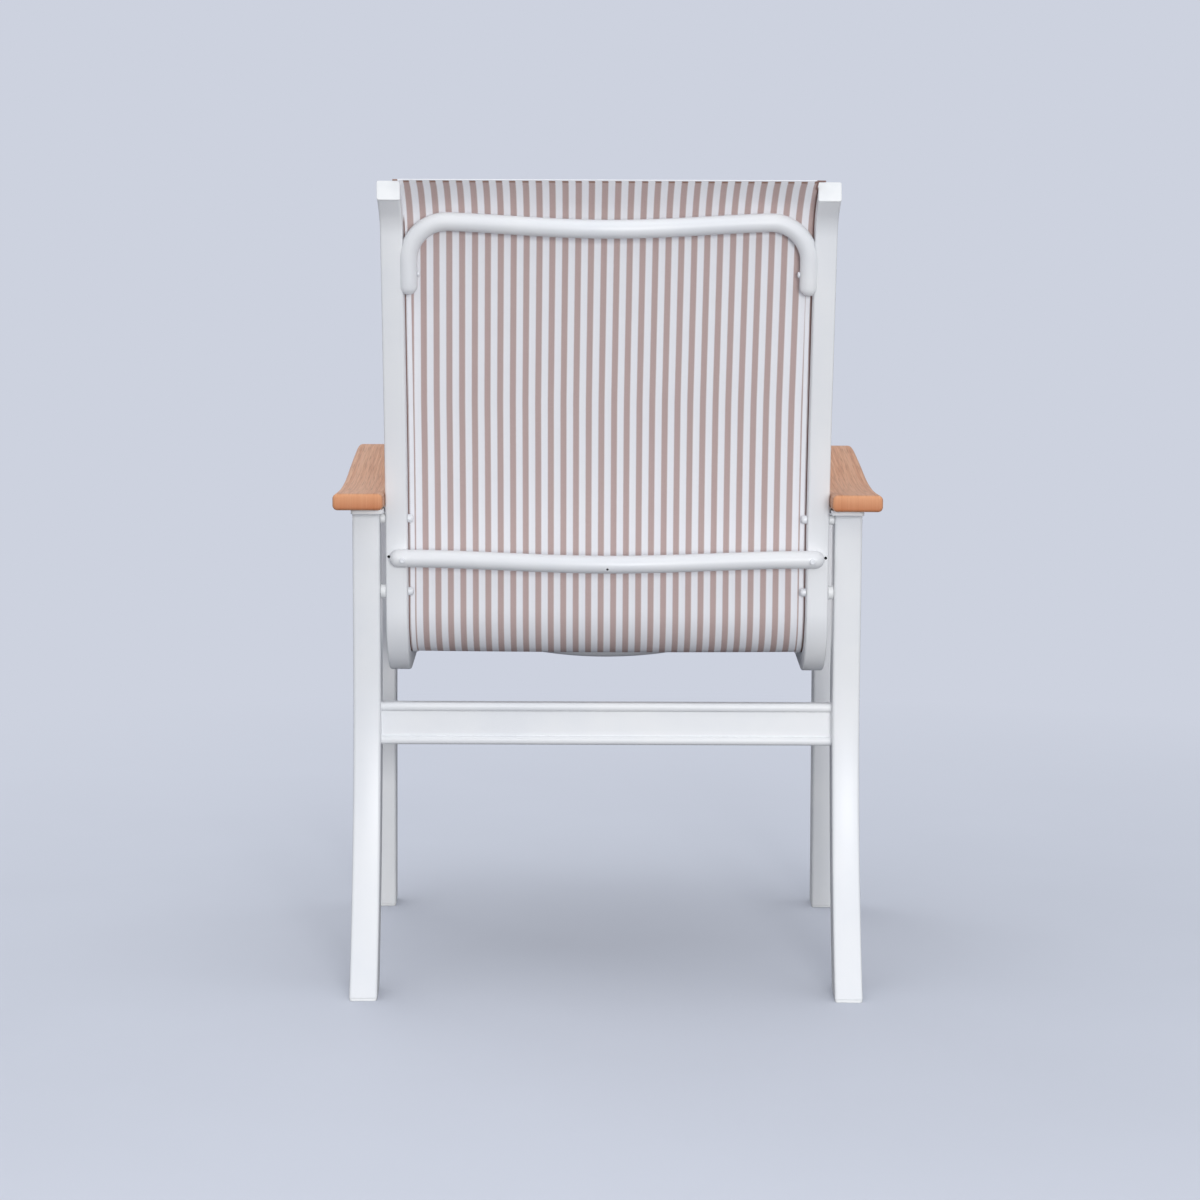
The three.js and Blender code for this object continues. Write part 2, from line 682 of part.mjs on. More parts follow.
function stretcherGeometry() {
  const place = (x) => new THREE.Vector3(x, -stretcherMiddle.x, 0);
  const run = { length: railSpan + 2 * legDepth };
  const course = new Course(runStations(-run.length / 2, 0, 0, [run]), place, axisY);
  const profile = (points) => sweep(course, points.map((point) => new THREE.Vector2(...point)));
  const depth = around(stretcherDepth / 2);
  const beads = stretcherScrews.map(({ y }) =>
    profile(roundedRectangle(depth, [y - stretcherBead / 2, y + stretcherBead / 2], stretcherCorner)));
  const web = profile(rectangle(around(stretcherWeb / 2), stretcherScrews.map(({ y }) => y)));
  const legFaces = frames.map((frame, i) => {
    const outside = block(outwards(sides[i].side, -seatGap, 2 * legDepth), around(railSpan), [0, railSpan]);
    return outside.applyMatrix4(frame.matrixWorld);
  });
  const reach = [stretcherHalf - stretcherScrewReach, stretcherHalf + cutOverrun];
  const pilots = sides.flatMap(({ side }) => stretcherScrews.map((station) =>
    crossBore(stretcherScrewRadius, side, station, ...reach)));
  return cut(join(web, beads), [...legFaces, ...pilots]);
}

addMesh(chair, 'rear_stretcher', stretcherGeometry(), finish.frame);

// Legs, glides, support bars and armrests

const boltStations = { upper: upperBolt, lower: lowerBolt, front: frontBolt };
const throughLeg = [railSpan / 2, railSpan / 2 + 2 * legDepth];
const legOutline = section(roundedRectangle(around(legThickness / 2), around(legDepth / 2), legCorner));
const legHollow = section(rectangle(around(legThickness / 2 - legWall), around(legDepth / 2 - legWall)));
const aboveLegs = sweep(armCourse,
  section(rectangle(around(armWidth), [barUnderside - seatGap, 2 * legDepth])));
const floorSlab = (from, to) => block(around(railSpan), around(railSpan), [from, to]);

function legGeometry(stations, side, frame, cross) {
  const tube = sweep(sideCourse(stations), legOutline, [legHollow]);
  const ends = [aboveLegs, floorSlab(-2 * legDepth, glideFlange + seatGap)];
  const trimmed = cut(tube, ends).translate(side * legThickness / 2, 0, 0);
  const holes = cross.flatMap(([radius, headRadius, station]) =>
    [crossBore(radius, side, station, ...throughLeg), countersink(radius, headRadius, side, station)]);
  return cut(trimmed, holes.map((hole) => toFrame(hole, frame)));
}

function glideGeometry(stations, side) {
  const inset = [legThickness, legDepth].map((size) => around(size / 2 - glideInset));
  const hollow = [legThickness, legDepth].map((size) => around(size / 2 - legWall - glideFit));
  const course = sideCourse(stations);
  const foot = sweep(course, section(roundedRectangle(...inset, legCorner)));
  const inside = sweep(course, section(rectangle(...hollow)));
  const tenon = common(inside, floorSlab(0, glideFlange + glideTenon));
  return join(common(foot, floorSlab(0, glideFlange)), [tenon]).translate(side * legThickness / 2, 0, 0);
}

// Seen from above the armrest is a rectangle with rounded corners
function armGeometry(side, screws) {
  const outline = section(roundedRectangle(around(armWidth / 2), around(armThickness / 2), armEdgeRadius));
  const reach = [armRearReach - armLength, armRearReach];
  const plan = roundedRectangle(around(armWidth / 2), reach, armCornerRadius);
  const shape = new THREE.Shape(plan.map(([x, y]) => new THREE.Vector2(x, y)));
  const column = new THREE.ExtrudeGeometry(shape, { depth: 2 * railSpan, bevelEnabled: false });
  const slat = common(sweep(armCourse, outline), column).translate(side * armMiddle, 0, 0);
  return cut(slat, screws.map((station) => armBore(side, station, armScrewReach + seatGap)));
}

function barGeometry(side, screws) {
  const outline = rectangle([armInner + barInnerInset, legThickness], [barUnderside, barTop]);
  const reach = block(around(railSpan), [barEndInset - armLength, -barEndInset], [0, 2 * railSpan]);
  const strip = common(sweep(armCourse, section(outline, side)), reach.translate(0, armRearReach, 0));
  return cut(strip, screws.map((station) => armBore(side, station, 0)));
}

// A screw hole up from below the bar to a height inside the arm
function armBore(side, station, height) {
  const [from, to] = [barUnderside - cutOverrun, height - armThickness / 2];
  return bar(screwRadius + boreClearance, across(side * armMiddle, inwardFrom(station, from)),
    across(side * armMiddle, inwardFrom(station, to)));
}

frames.forEach((frame, i) => {
  const { name, side } = sides[i];
  const bolts = (...keys) => keys.map((key) => [boltRadius, boltHeadRadius, boltStations[key]]);
  const stretcherHoles = stretcherScrews.map((station) =>
    [stretcherScrewRadius, stretcherScrewHead, station]);
  const rearHoles = [...bolts('upper', 'lower'), ...stretcherHoles];
  addMesh(frame, `rear_leg_${name}`, legGeometry(rearLegStations, side, frame, rearHoles), finish.frame);
  const frontLeg = legGeometry(frontLegStations, side, frame, bolts('front'));
  addMesh(frame, `front_leg_${name}`, frontLeg, finish.frame);
  addMesh(frame, `foot_glide_rear_${name}`, glideGeometry(rearLegStations, side), finish.plug);
  addMesh(frame, `foot_glide_front_${name}`, glideGeometry(frontLegStations, side), finish.plug);

  const screws = armScrewShares.map((share) => armStation(share * armLength));
  addMesh(frame, `armrest_${name}`, armGeometry(side, screws), finish.arm);
  addMesh(frame, `arm_support_bar_${name}`, barGeometry(side, screws), finish.frame);
  screws.forEach((station, k) => {
    const length = armScrewReach + barThickness + seatGap;
    const place = ['rear', 'front'][k];
    const screw = addMesh(frame, `arm_screw_${place}_${name}`, smallScrew(length), finish.bolt);
    const under = across(side * armMiddle, inwardFrom(station, barUnderside - seatGap));
    stand(screw, under, under.clone().sub(across(side * armMiddle, station)));
  });
});

// Bolts, spacers and cap nuts, on axes that run across the chair

for (const { name, side } of sides) {
  const outward = axisX.clone().multiplyScalar(side);
  const inward = outward.clone().negate();
  const radii = { upper: upperSpacerRadius, lower: lowerSpacerRadius, front: frontSpacerRadius };
  for (const [label, station] of Object.entries(boltStations)) {
    const slack = Math.tan(toeOut) * radii[label];
    const legFace = frameInner(station.x);
    const head = headPlane(boltHeadRadius, station);
    const length = head - railInner + capNutBore;
    const bolt = addMesh(chair, `frame_bolt_${label}_${name}`,
      sunkScrew(boltRadius, length, boltHeadRadius), finish.bolt);
    stand(bolt, across(side * head, station), outward);
    const spacer = addMesh(chair, `spacer_${label}_${name}`,
      spacerGeometry(radii[label], legFace - railSpan / 2 - slack - 2 * seatGap), finish.bolt);
    stand(spacer, across(side * (railSpan / 2 + seatGap), station), outward);
    const nut = addMesh(chair, `cap_nut_${label}_${name}`, capNutGeometry(), finish.bolt);
    stand(nut, across(side * (railInner - seatGap), station), inward);
  }

  stretcherScrews.forEach((station, k) => {
    const head = headPlane(stretcherScrewHead, station);
    const length = head - stretcherHalf + stretcherScrewReach - seatGap;
    const screw = addMesh(chair, `stretcher_screw_${['lower', 'upper'][k]}_${name}`,
      sunkScrew(stretcherScrewRadius, length, stretcherScrewHead), finish.bolt);
    stand(screw, across(side * head, station), outward);
  });

  // Upper tube: from its inner side into the rail
  const upperFace = upperEnd - upperTubeRadius - seatGap;
  const upperTubeScrew = addMesh(chair, `upper_tube_screw_${name}`,
    smallScrew(railInner + screwReach - upperFace), finish.bolt);
  stand(upperTubeScrew, across(side * upperFace, upperScrew), inward);

  // Lower tube: from behind into the rail's rear face
  const lowerFace = inwardFrom(lowerBase, -lowerTubeRadius - seatGap);
  const lowerLength = 2 * lowerTubeRadius + 2 * seatGap + screwReach;
  const lowerTubeScrew = addMesh(chair, `lower_tube_screw_${name}`, smallScrew(lowerLength), finish.bolt);
  const lowerPoint = across(side * lowerScrewSpread, lowerFace);
  stand(lowerTubeScrew, lowerPoint, lowerPoint.clone().sub(across(side * lowerScrewSpread, lowerRail)));

  // Under-seat tube: from outside through the rail into the tube's end
  const seatTubeScrew = addMesh(chair, `under_seat_screw_${name}`,
    smallScrew(railWidth + seatGap + screwReach), finish.bolt);
  stand(seatTubeScrew, across(side * (railSpan / 2 + seatGap), seatBase), outward);
}

// The origin is on the floor, under the middle of the chair
const bounds = new THREE.Box3().setFromObject(chair, true);
const middle = bounds.getCenter(new THREE.Vector3());
chair.position.set(-middle.x, -middle.y, -bounds.min.z);

export default chair;
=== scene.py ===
import math

import bpy
from mathutils import Matrix, Vector


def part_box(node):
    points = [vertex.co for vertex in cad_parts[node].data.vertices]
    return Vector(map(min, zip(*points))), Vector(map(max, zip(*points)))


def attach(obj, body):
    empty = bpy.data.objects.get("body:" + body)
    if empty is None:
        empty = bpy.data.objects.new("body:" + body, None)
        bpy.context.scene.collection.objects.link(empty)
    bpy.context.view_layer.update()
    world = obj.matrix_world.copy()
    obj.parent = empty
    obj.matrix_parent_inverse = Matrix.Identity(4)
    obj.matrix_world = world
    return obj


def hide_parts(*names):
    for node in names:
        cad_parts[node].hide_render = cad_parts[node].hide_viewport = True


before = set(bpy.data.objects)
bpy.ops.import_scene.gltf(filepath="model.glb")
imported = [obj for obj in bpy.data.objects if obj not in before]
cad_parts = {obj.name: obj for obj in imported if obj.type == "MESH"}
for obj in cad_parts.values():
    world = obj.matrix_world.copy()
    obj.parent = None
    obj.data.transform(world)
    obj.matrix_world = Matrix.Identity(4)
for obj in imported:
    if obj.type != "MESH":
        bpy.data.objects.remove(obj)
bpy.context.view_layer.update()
print("frame loaded:", len(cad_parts), "CAD nodes")

# Sizes in metres. The side view looks across the chair: x runs forward from the rails' bend, y is up
chair = {
    "bendY": 0.12689,  # row y of the rails' bend
    "sideX": 0.26510,  # inner face of the side frames at the bend
    "toeOut": math.radians(1.7),
}
rail = {
    "span": 0.512,
    "width": 0.025,
    "depth": 0.030,
    "corner": 0.0024,
    "slotAt": 0.0075,  # slot's middle, towards the sitter from the rail's middle
    "slotMouth": 0.003,
    "slotDeep": 0.0062,
    "weepRadius": 0.0017,
    "weepOutset": 0.0089,
    "weepDepth": 0.020,
    "flare": (0.872, 0.925, 0.0105),  # heights between which the tops widen, and by what share
    "top": (-0.18056, 0.91510),
    "toLowerTube": 0.4135,  # from the top down to its line
    "topHeading": math.radians(-44),
    "runs": [
        {"length": 0.0177},
        {"radius": 0.070, "turn": math.radians(-32), "steps": 14},
        {"length": 0.197},
        {"radius": 1.265, "turn": math.radians(-11.1), "steps": 10},
        {"radius": 0.065, "turn": math.radians(92.6), "steps": 32},
        {"length": 0.379},
        {"radius": 0.060, "turn": math.radians(-40), "steps": 16},
        {"length": 0.012},
    ],
}


# Modelling helpers


def leaveEditMode():
    if bpy.context.object and bpy.context.object.mode != "OBJECT":
        bpy.ops.object.mode_set(mode="OBJECT")


def clearSelection():
    leaveEditMode()
    bpy.ops.object.select_all(action="DESELECT")


def activate(obj):
    clearSelection()
    obj.select_set(True)
    bpy.context.view_layer.objects.active = obj


def sidePoint(forward, height, x=0.0):
    return Vector((x, chair["bendY"] - forward, height))


def sideDirection(heading):
    return Vector((0, -math.cos(heading), math.sin(heading)))


def inwardDirection(heading):
    return Vector((0, math.sin(heading), math.cos(heading)))


def start(add, name, place, turn=(0, 0, 0), scale=(1, 1, 1), **sizes):
    # a primitive at its size and place, both worked into its mesh
    clearSelection()
    add(location=place, rotation=turn, **sizes)
    obj = bpy.context.object
    obj.name = obj.data.name = name
    obj.scale = scale
    bpy.ops.object.transform_apply(location=True, rotation=True, scale=True)
    return obj


def startOutline(name, width, depth, place, heading, corner=0.0, segments=4):
    # a plane square to the heading, its corners rounded, left in edit mode with all of it selected
    turn = (math.pi / 2 - heading, 0, 0)
    obj = start(bpy.ops.mesh.primitive_plane_add, name, place, turn, (width, depth, 1), size=1)
    editAll()
    if corner:
        bpy.ops.mesh.bevel(offset=corner, segments=segments, affect="VERTICES")
        bpy.ops.mesh.select_all(action="SELECT")
    return obj


def editAll(mode="VERT"):
    bpy.ops.object.mode_set(mode="EDIT")
    bpy.ops.mesh.select_mode(type=mode)
    bpy.ops.mesh.select_all(action="SELECT")


def choose(obj, kind, test):
    # leaves edit mode, selects the vertices, edges or faces that pass the test, and goes back
    bpy.ops.object.mode_set(mode="EDIT")
    bpy.ops.mesh.select_mode(type=kind)
    bpy.ops.mesh.select_all(action="DESELECT")
    bpy.ops.object.mode_set(mode="OBJECT")
    items = {"VERT": obj.data.vertices, "EDGE": obj.data.edges, "FACE": obj.data.polygons}[kind]
    for item in items:
        item.select = test(item)
    bpy.ops.object.mode_set(mode="EDIT")


def edgeMiddle(obj, edge):
    a, b = (obj.data.vertices[i].co for i in edge.vertices)
    return (a + b) / 2


def extrude(move):
    bpy.ops.mesh.extrude_region_move(TRANSFORM_OT_translate={"value": move})


def cutPlane(place, normal, **clear):
    # all of the mesh is cut along a plane; clear_inner or clear_outer takes one side away
    editAll("EDGE")
    bpy.ops.mesh.bisect(plane_co=place, plane_no=normal, **clear)


def turnCentre(forward, height, heading, run):
    reach = math.copysign(run["radius"], run["turn"])
    return forward - reach * math.sin(heading), height + reach * math.cos(heading), reach


def sweep(forward, height, heading, runs):
    # the selected outline loses its face and is drawn along straight runs and turns in the side view
    bpy.ops.mesh.delete(type="ONLY_FACE")
    bpy.ops.mesh.select_all(action="SELECT")
    for run in runs:
        if "length" in run:
            extrude(sideDirection(heading) * run["length"])
        else:
            centre = sidePoint(*turnCentre(forward, height, heading, run)[:2])
            bpy.ops.mesh.spin(steps=run["steps"], angle=run["turn"], center=centre, axis=(1, 0, 0))
        forward, height, heading = walk(forward, height, heading, [run])[-1]


def walk(forward, height, heading, runs, spacing=0.006):
    # places and headings along the same runs
    places = [(forward, height, heading)]
    for run in runs:
        if "length" in run:
            count = max(1, round(run["length"] / spacing))
            for i in range(count):
                forward += run["length"] / count * math.cos(heading)
                height += run["length"] / count * math.sin(heading)
                places.append((forward, height, heading))
            continue
        centreX, centreY, reach = turnCentre(forward, height, heading, run)
        count = max(6, round(abs(run["radius"] * run["turn"]) / spacing))
        for i in range(count):
            heading += run["turn"] / count
            forward = centreX + reach * math.sin(heading)
            height = centreY - reach * math.cos(heading)
            places.append((forward, height, heading))
    return places


def placeAtHeight(places, height):
    pairs = zip(places, places[1:])
    low, high = next(p for p in pairs if (p[0][1] - height) * (p[1][1] - height) <= 0)
    share = (height - low[1]) / (high[1] - low[1])
    return [a + (b - a) * share for a, b in zip(low, high)]


def closeAndClean(obj):
    editAll()
    bpy.ops.mesh.fill_holes(sides=0)
    bpy.ops.mesh.select_all(action="SELECT")
    bpy.ops.mesh.remove_doubles(threshold=0.00001)
    bpy.ops.mesh.normals_make_consistent(inside=False)
    leaveEditMode()


def smooth(obj, angle):
    activate(obj)
    bpy.ops.object.shade_smooth_by_angle(angle=math.radians(angle))


def applyModifier(obj, kind, **settings):
    activate(obj)
    modifier = obj.modifiers.new(kind, kind)
    for setting, value in settings.items():
        setattr(modifier, setting, value)
    bpy.ops.object.modifier_apply(modifier=kind)


def bevelEdges(obj, width, segments, limit):
    angle = math.radians(limit)
    applyModifier(obj, "BEVEL", width=width, segments=segments, limit_method="ANGLE", angle_limit=angle)


def combine(obj, other, operation):
    applyModifier(obj, "BOOLEAN", object=other, operation=operation, solver="EXACT")
    bpy.data.objects.remove(other)


def drill(obj, place, direction, radius, depth, wideRadius=0.0):
    # drilled that deep under a surface, with a countersink if a wide radius is given
    clearSelection()
    where = {"location": place, "rotation": direction.normalized().to_track_quat("Z", "Y").to_euler()}
    bpy.ops.mesh.primitive_cylinder_add(vertices=32, radius=radius, depth=2 * depth, **where)
    cutter = bpy.context.object
    if wideRadius:
        shank, rise = cutter, wideRadius - radius
        bpy.ops.mesh.primitive_cone_add(
            vertices=32, radius1=radius, radius2=radius + 2 * rise, depth=2 * rise, **where
        )
        cutter = bpy.context.object
        combine(cutter, shank, "UNION")
    combine(obj, cutter, "DIFFERENCE")


def boreHole(obj, place, direction, radius, depth):
    # drilled, and its inner faces marked for painted shade, a dark that stands in for the shadow inside
    # the hole
    drill(obj, place, direction, radius, depth)
    marks = obj.data.attributes.new("bore", "FLOAT", "FACE")
    axis = direction.normalized()
    for face in obj.data.polygons:
        reach = face.center - place
        under = -reach.dot(axis)
        off = (reach + axis * under).length
        marks.data[face.index].value = float(off < radius * 1.02 and 0.0005 < under < depth * 1.1)


def copyOf(obj, name, matrix):
    # a copy with its own mesh, its place worked into the mesh
    twin = obj.copy()
    twin.data = obj.data.copy()
    twin.name = twin.data.name = name
    bpy.context.scene.collection.objects.link(twin)
    twin.data.transform(matrix)
    if matrix.determinant() < 0:
        activate(twin)
        editAll()
        bpy.ops.mesh.flip_normals()
        leaveEditMode()
    return twin


def install(obj, finish, slot, *nodes):
    obj.data.materials.clear()
    obj.data.materials.append(finish)
    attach(obj, "root")
    if nodes:
        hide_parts(*nodes)


def bothSides(obj, angle, finish, slot, pattern):
    # the left piece and its mirror image, named after the CAD nodes that they stand for
    smooth(obj, angle)
    left, right = pattern.format("left"), pattern.format("right")
    obj.name = obj.data.name = left + "_finish"
    twin = copyOf(obj, right + "_finish", Matrix.Scale(-1, 4, (1, 0, 0)))
    install(obj, finish, slot, left)
    install(twin, finish, slot, right)


def single(obj, angle, node):
    smooth(obj, angle)
    obj.name = node + "_finish"
    install(obj, coat, "frame", node)


def onSideFrame(obj):
    # from the left side frame's own directions to the row's
    place = Matrix.Translation((chair["sideX"], chair["bendY"], 0))
    obj.data.transform(place @ Matrix.Rotation(chair["toeOut"], 4, "Z"))


# Materials: an expression on wires adds its Math nodes


class Wire:
    def __init__(self, finish, socket):
        self.finish, self.socket = finish, socket

    def math(self, operation, *others):
        inputs = dict(enumerate((self, *others)))
        return self.finish.node("ShaderNodeMath", {"operation": operation}, inputs)

    def __add__(self, other):
        return self.math("ADD", other)

    def __sub__(self, other):
        return self.math("SUBTRACT", other)

    def __mul__(self, other):
        return self.math("MULTIPLY", other)

    def __truediv__(self, other):
        return self.math("DIVIDE", other)

    def sibling(self, name):
        # another output of the same node
        return Wire(self.finish, self.socket.node.outputs[name])


class Finish:
    def __init__(self, name, **surface):
        self.material = bpy.data.materials.new(name)
        self.material.use_nodes = True
        self.tree = self.material.node_tree
        self.shader = self.tree.nodes["Principled BSDF"]
        for socket, value in surface.items():
            self.shader.inputs[socket.replace("_", " ")].default_value = value

    def node(self, kind, settings=None, inputs=None, out=0):
        made = self.tree.nodes.new(kind)
        for key, value in (settings or {}).items():
            setattr(made, key, value)
        for key, value in (inputs or {}).items():
            if isinstance(value, Wire):
                self.tree.links.new(value.socket, made.inputs[key])
            else:
                made.inputs[key].default_value = value
        return Wire(self, made.outputs[out])

    def place(self):
        return self.node("ShaderNodeTexCoord", out="Object")

    def stretched(self, vector, scale):
        return self.node("ShaderNodeVectorMath", {"operation": "MULTIPLY"}, {0: vector, 1: scale})

    def noise(self, vector, scale, detail=2.0, roughness=0.5, distortion=0.0):
        inputs = {"Vector": vector, "Scale": scale, "Detail": detail, "Roughness": roughness}
        return self.node("ShaderNodeTexNoise", None, inputs | {"Distortion": distortion})

    def between(self, value, low, high, start=0.0, end=1.0):
        inputs = {"Value": value, "From Min": low, "From Max": high, "To Min": start, "To Max": end}
        return self.node("ShaderNodeMapRange", {"clamp": True}, inputs)

    def mix(self, share, first, second):
        inputs = {"Factor": share, 6: colour(first), 7: colour(second)}
        return self.node("ShaderNodeMix", {"data_type": "RGBA"}, inputs, out=2)

    def feed(self, **wires):
        for socket, wire in wires.items():
            self.tree.links.new(wire.socket, self.shader.inputs[socket.replace("_", " ")])

    def bump(self, height, distance, strength=1.0):
        inputs = {"Height": height, "Distance": distance, "Strength": strength}
        self.feed(Normal=self.node("ShaderNodeBump", None, inputs))


def colour(value):
    return value if isinstance(value, Wire) else (*value, 1)


def rgb(red, green, blue):
    # from the 0-255 values that a colour picker shows
    shares = (value / 255 for value in (red, green, blue))
    return tuple(((s + 0.055) / 1.055) ** 2.4 if s > 0.04045 else s / 12.92 for s in shares)


def powderCoat():
    look = {
        "light": rgb(242, 243, 244),
        "shade": rgb(236, 238, 241),
        # the bore colour is painted shade, a dark that stands in for the shadow inside drilled holes
        "bore": rgb(46, 48, 54),
        "orangePeel": 900,  # bumps per metre
        "clouds": 9,
        "dust": 2600,
    }
    coat = Finish("white powder coat", Roughness=0.36, Specular_IOR_Level=0.42)
    place = coat.place()
    clouds = coat.noise(place, look["clouds"], 3)
    peel = coat.noise(place, look["orangePeel"], 2)
    dust = coat.noise(place, look["dust"], 1)
    white = coat.mix(coat.between(clouds, 0.35, 0.65), look["shade"], look["light"])
    # painted shade: the faces inside drilled holes take the dark bore colour
    bore = coat.node("ShaderNodeAttribute", {"attribute_name": "bore"}, out="Fac")
    coat.feed(Base_Color=coat.mix(bore, white, look["bore"]))
    coat.feed(Roughness=coat.between(clouds + dust * 0.4, 0.4, 1.0, 0.33, 0.42))
    coat.bump(peel, 0.00006)
    return coat.material


def mouldedPlastic():
    look = {"colour": rgb(242, 243, 243), "worn": rgb(235, 237, 238), "grain": 1500, "clouds": 40}
    plastic = Finish("white moulded plastic", Roughness=0.4, Specular_IOR_Level=0.4)
    place = plastic.place()
    grainy = plastic.noise(place, look["grain"], 2)
    soft = plastic.noise(place, look["clouds"], 3)
    plastic.feed(Base_Color=plastic.mix(plastic.between(soft, 0.4, 0.7), look["colour"], look["worn"]))
    plastic.feed(Roughness=plastic.between(grainy, 0.3, 0.7, 0.36, 0.46))
    plastic.bump(grainy, 0.00003)
    return plastic.material


def paintedScrew():
    look = {"colour": rgb(240, 242, 245), "dull": rgb(214, 217, 222), "spots": 700}
    paint = Finish("white screw paint", Roughness=0.3, Specular_IOR_Level=0.5)
    place = paint.place()
    spots = paint.noise(place, look["spots"], 3)
    paint.feed(Base_Color=paint.mix(paint.between(spots, 0.5, 0.8), look["colour"], look["dull"]))
    paint.feed(Roughness=paint.between(spots, 0.3, 0.7, 0.26, 0.38))
    paint.bump(spots, 0.00003)
    return paint.material


def armTimber():
    look = {
        "light": rgb(222, 172, 138),
        "middle": rgb(198, 132, 93),
        "dark": rgb(168, 106, 72),
        "pore": rgb(142, 90, 62),
        # end faces: end-grain colour, with a painted highlight at the top and painted shade at the foot
        "endGrainPaintedHighlight": rgb(236, 170, 124),
        "endGrainPaintedShade": rgb(196, 116, 74),
        "figure": (1.3, 55, 1),  # per metre along and across the board
        "streaks": (2.5, 460, 1),
        "pores": (14, 1200, 1),
        "bands": 620,
        "bandWander": 0.02,
    }
    timber = Finish("arm timber", Roughness=0.6, Specular_IOR_Level=0.2)
    along = timber.node("ShaderNodeUVMap", {"uv_map": "grain"})
    across = timber.node("ShaderNodeSeparateXYZ", None, {0: along}, out="Y")
    figure = timber.noise(timber.stretched(along, look["figure"]), 1, 4, 0.55, 0.5)
    streaks = timber.noise(timber.stretched(along, look["streaks"]), 1, 3, 0.6)
    pores = timber.noise(timber.stretched(along, look["pores"]), 1, 2, 0.5)
    bands = ((across + figure * look["bandWander"]) * look["bands"]).math("SINE")
    base = timber.mix(timber.between(figure, 0.3, 0.7), look["middle"], look["light"])
    base = timber.mix(timber.between(bands, 0.0, 1.4, 0.0, 0.3), base, look["dark"])
    base = timber.mix(timber.between(streaks, 0.5, 0.6, 0.0, 0.9), base, look["light"])
    base = timber.mix(timber.between(pores, 0.54, 0.66, 0.0, 0.6), base, look["pore"])
    ends = timber.node("ShaderNodeAttribute", {"attribute_name": "endFace"}, out="Fac")
    rise = timber.node("ShaderNodeAttribute", {"attribute_name": "paintedLightRise"}, out="Fac")
    # the end faces blend into end-grain colour painted lighter towards the top and darker towards the
    # foot, as light falls on them
    base = timber.mix(ends * 0.75, base, timber.mix(rise, look["endGrainPaintedShade"], look["endGrainPaintedHighlight"]))
    timber.feed(Base_Color=base)
    timber.feed(Roughness=timber.between(streaks, 0.3, 0.7, 0.44, 0.58))
    timber.bump(pores * 0.6 + streaks * 0.4, 0.0002, 0.7)
    return timber.material


def slingCloth():
    look = {
        "white": rgb(248, 248, 251),
        "whiteShade": rgb(232, 234, 240),
        "brown": rgb(200, 178, 174),
        "brownShade": rgb(181, 156, 152),
        "hem": rgb(142, 104, 84),
        "foldPaintedHighlight": (0.0009, 0.0014),  # distances from the top, for the painted highlight along the fold's top edge
        "pitch": 0.01455,
        "brownShare": 0.475,
        "slant": (0.0030, 0.27),  # the pattern's shift at the top, gone at that distance
        "ribPitch": 0.0012,
        "toothPitch": 0.0024,  # of the stripes' edges
        "yarnPitch": 0.00092,
        "wobble": (60, 500, 1),
        "mottle": (900, 420, 1),
        "hemDepth": 0.0045,
        "shadowed": (0.2290, 0.2300),  # from the middle, where the sheet goes into the rail's slot
        "shadow": rgb(140, 112, 106),
        "shadowFrom": (-0.18, -0.17),  # along less across: the left one begins behind the upper tube
    }
    cloth = Finish("striped sling cloth", Roughness=0.78, Specular_IOR_Level=0.25)
    flat = cloth.node("ShaderNodeUVMap", {"uv_map": "cloth"})
    across = cloth.node("ShaderNodeSeparateXYZ", None, {0: flat})
    along = across.sibling("Y")
    wobble = cloth.noise(cloth.stretched(flat, look["wobble"]), 1, 2) - 0.5
    ribs = (along * (math.tau / look["ribPitch"])).math("SINE")
    yarns = (across * (math.tau / look["yarnPitch"]) + ribs * 0.6).math("SINE")
    teeth = (along * (math.tau / look["toothPitch"])).math("SINE")
    slant = cloth.between(along, 0.0, look["slant"][1], look["slant"][0], 0.0)
    # the distance from the nearest brown stripe's middle, in stripe pitches
    place = ((across + slant) / look["pitch"] + teeth * 0.022 + wobble * 0.03).math("FRACT")
    distance = (place - 0.5).math("ABSOLUTE")
    halfBrown = look["brownShare"] / 2
    brown = cloth.between(distance, halfBrown - 0.02, halfBrown + 0.02, 1.0, 0.0)
    weave = cloth.between(ribs * 0.6 + yarns * 0.4, -1.0, 1.0)
    mottle = cloth.noise(cloth.stretched(flat, look["mottle"]), 1, 2)
    white = cloth.mix(cloth.between(weave + mottle * 0.6, 0.2, 0.9), look["whiteShade"], look["white"])
    tan = cloth.mix(cloth.between(weave + mottle * 0.9, 0.3, 1.2), look["brownShade"], look["brown"])
    tan = cloth.mix(cloth.between(along, 0.003, look["hemDepth"], 0.8, 0.0), tan, look["hem"])
    # painted highlight: the brown is left out along the fold's top edge, so that it shows white
    brown = brown * cloth.between(along, *look["foldPaintedHighlight"])
    intoSlot = cloth.between(across.math("ABSOLUTE"), *look["shadowed"])
    intoSlot = intoSlot * cloth.between(along - across, *look["shadowFrom"])
    cloth.feed(Base_Color=cloth.mix(intoSlot, cloth.mix(brown, white, tan), look["shadow"]))
    cloth.feed(Roughness=cloth.between(weave, 0.0, 1.0, 0.88, 0.7))
    cloth.bump(weave, 0.00018, 0.8)
    return cloth.material


def splineCord():
    look = {"light": rgb(150, 155, 162), "dark": rgb(120, 125, 132)}
    cord = Finish("grey spline", Roughness=0.6)
    mottle = cord.noise(cord.place(), 300, 2)
    cord.feed(Base_Color=cord.mix(mottle, look["light"], look["dark"]))
    return cord.material


coat, plastic, screwPaint = powderCoat(), mouldedPlastic(), paintedScrew()
timber, cloth, splineGrey = armTimber(), slingCloth(), splineCord()
print("materials made")


# Sling rails: a rounded bar swept down the back, round the bend and along the seat, with its slot


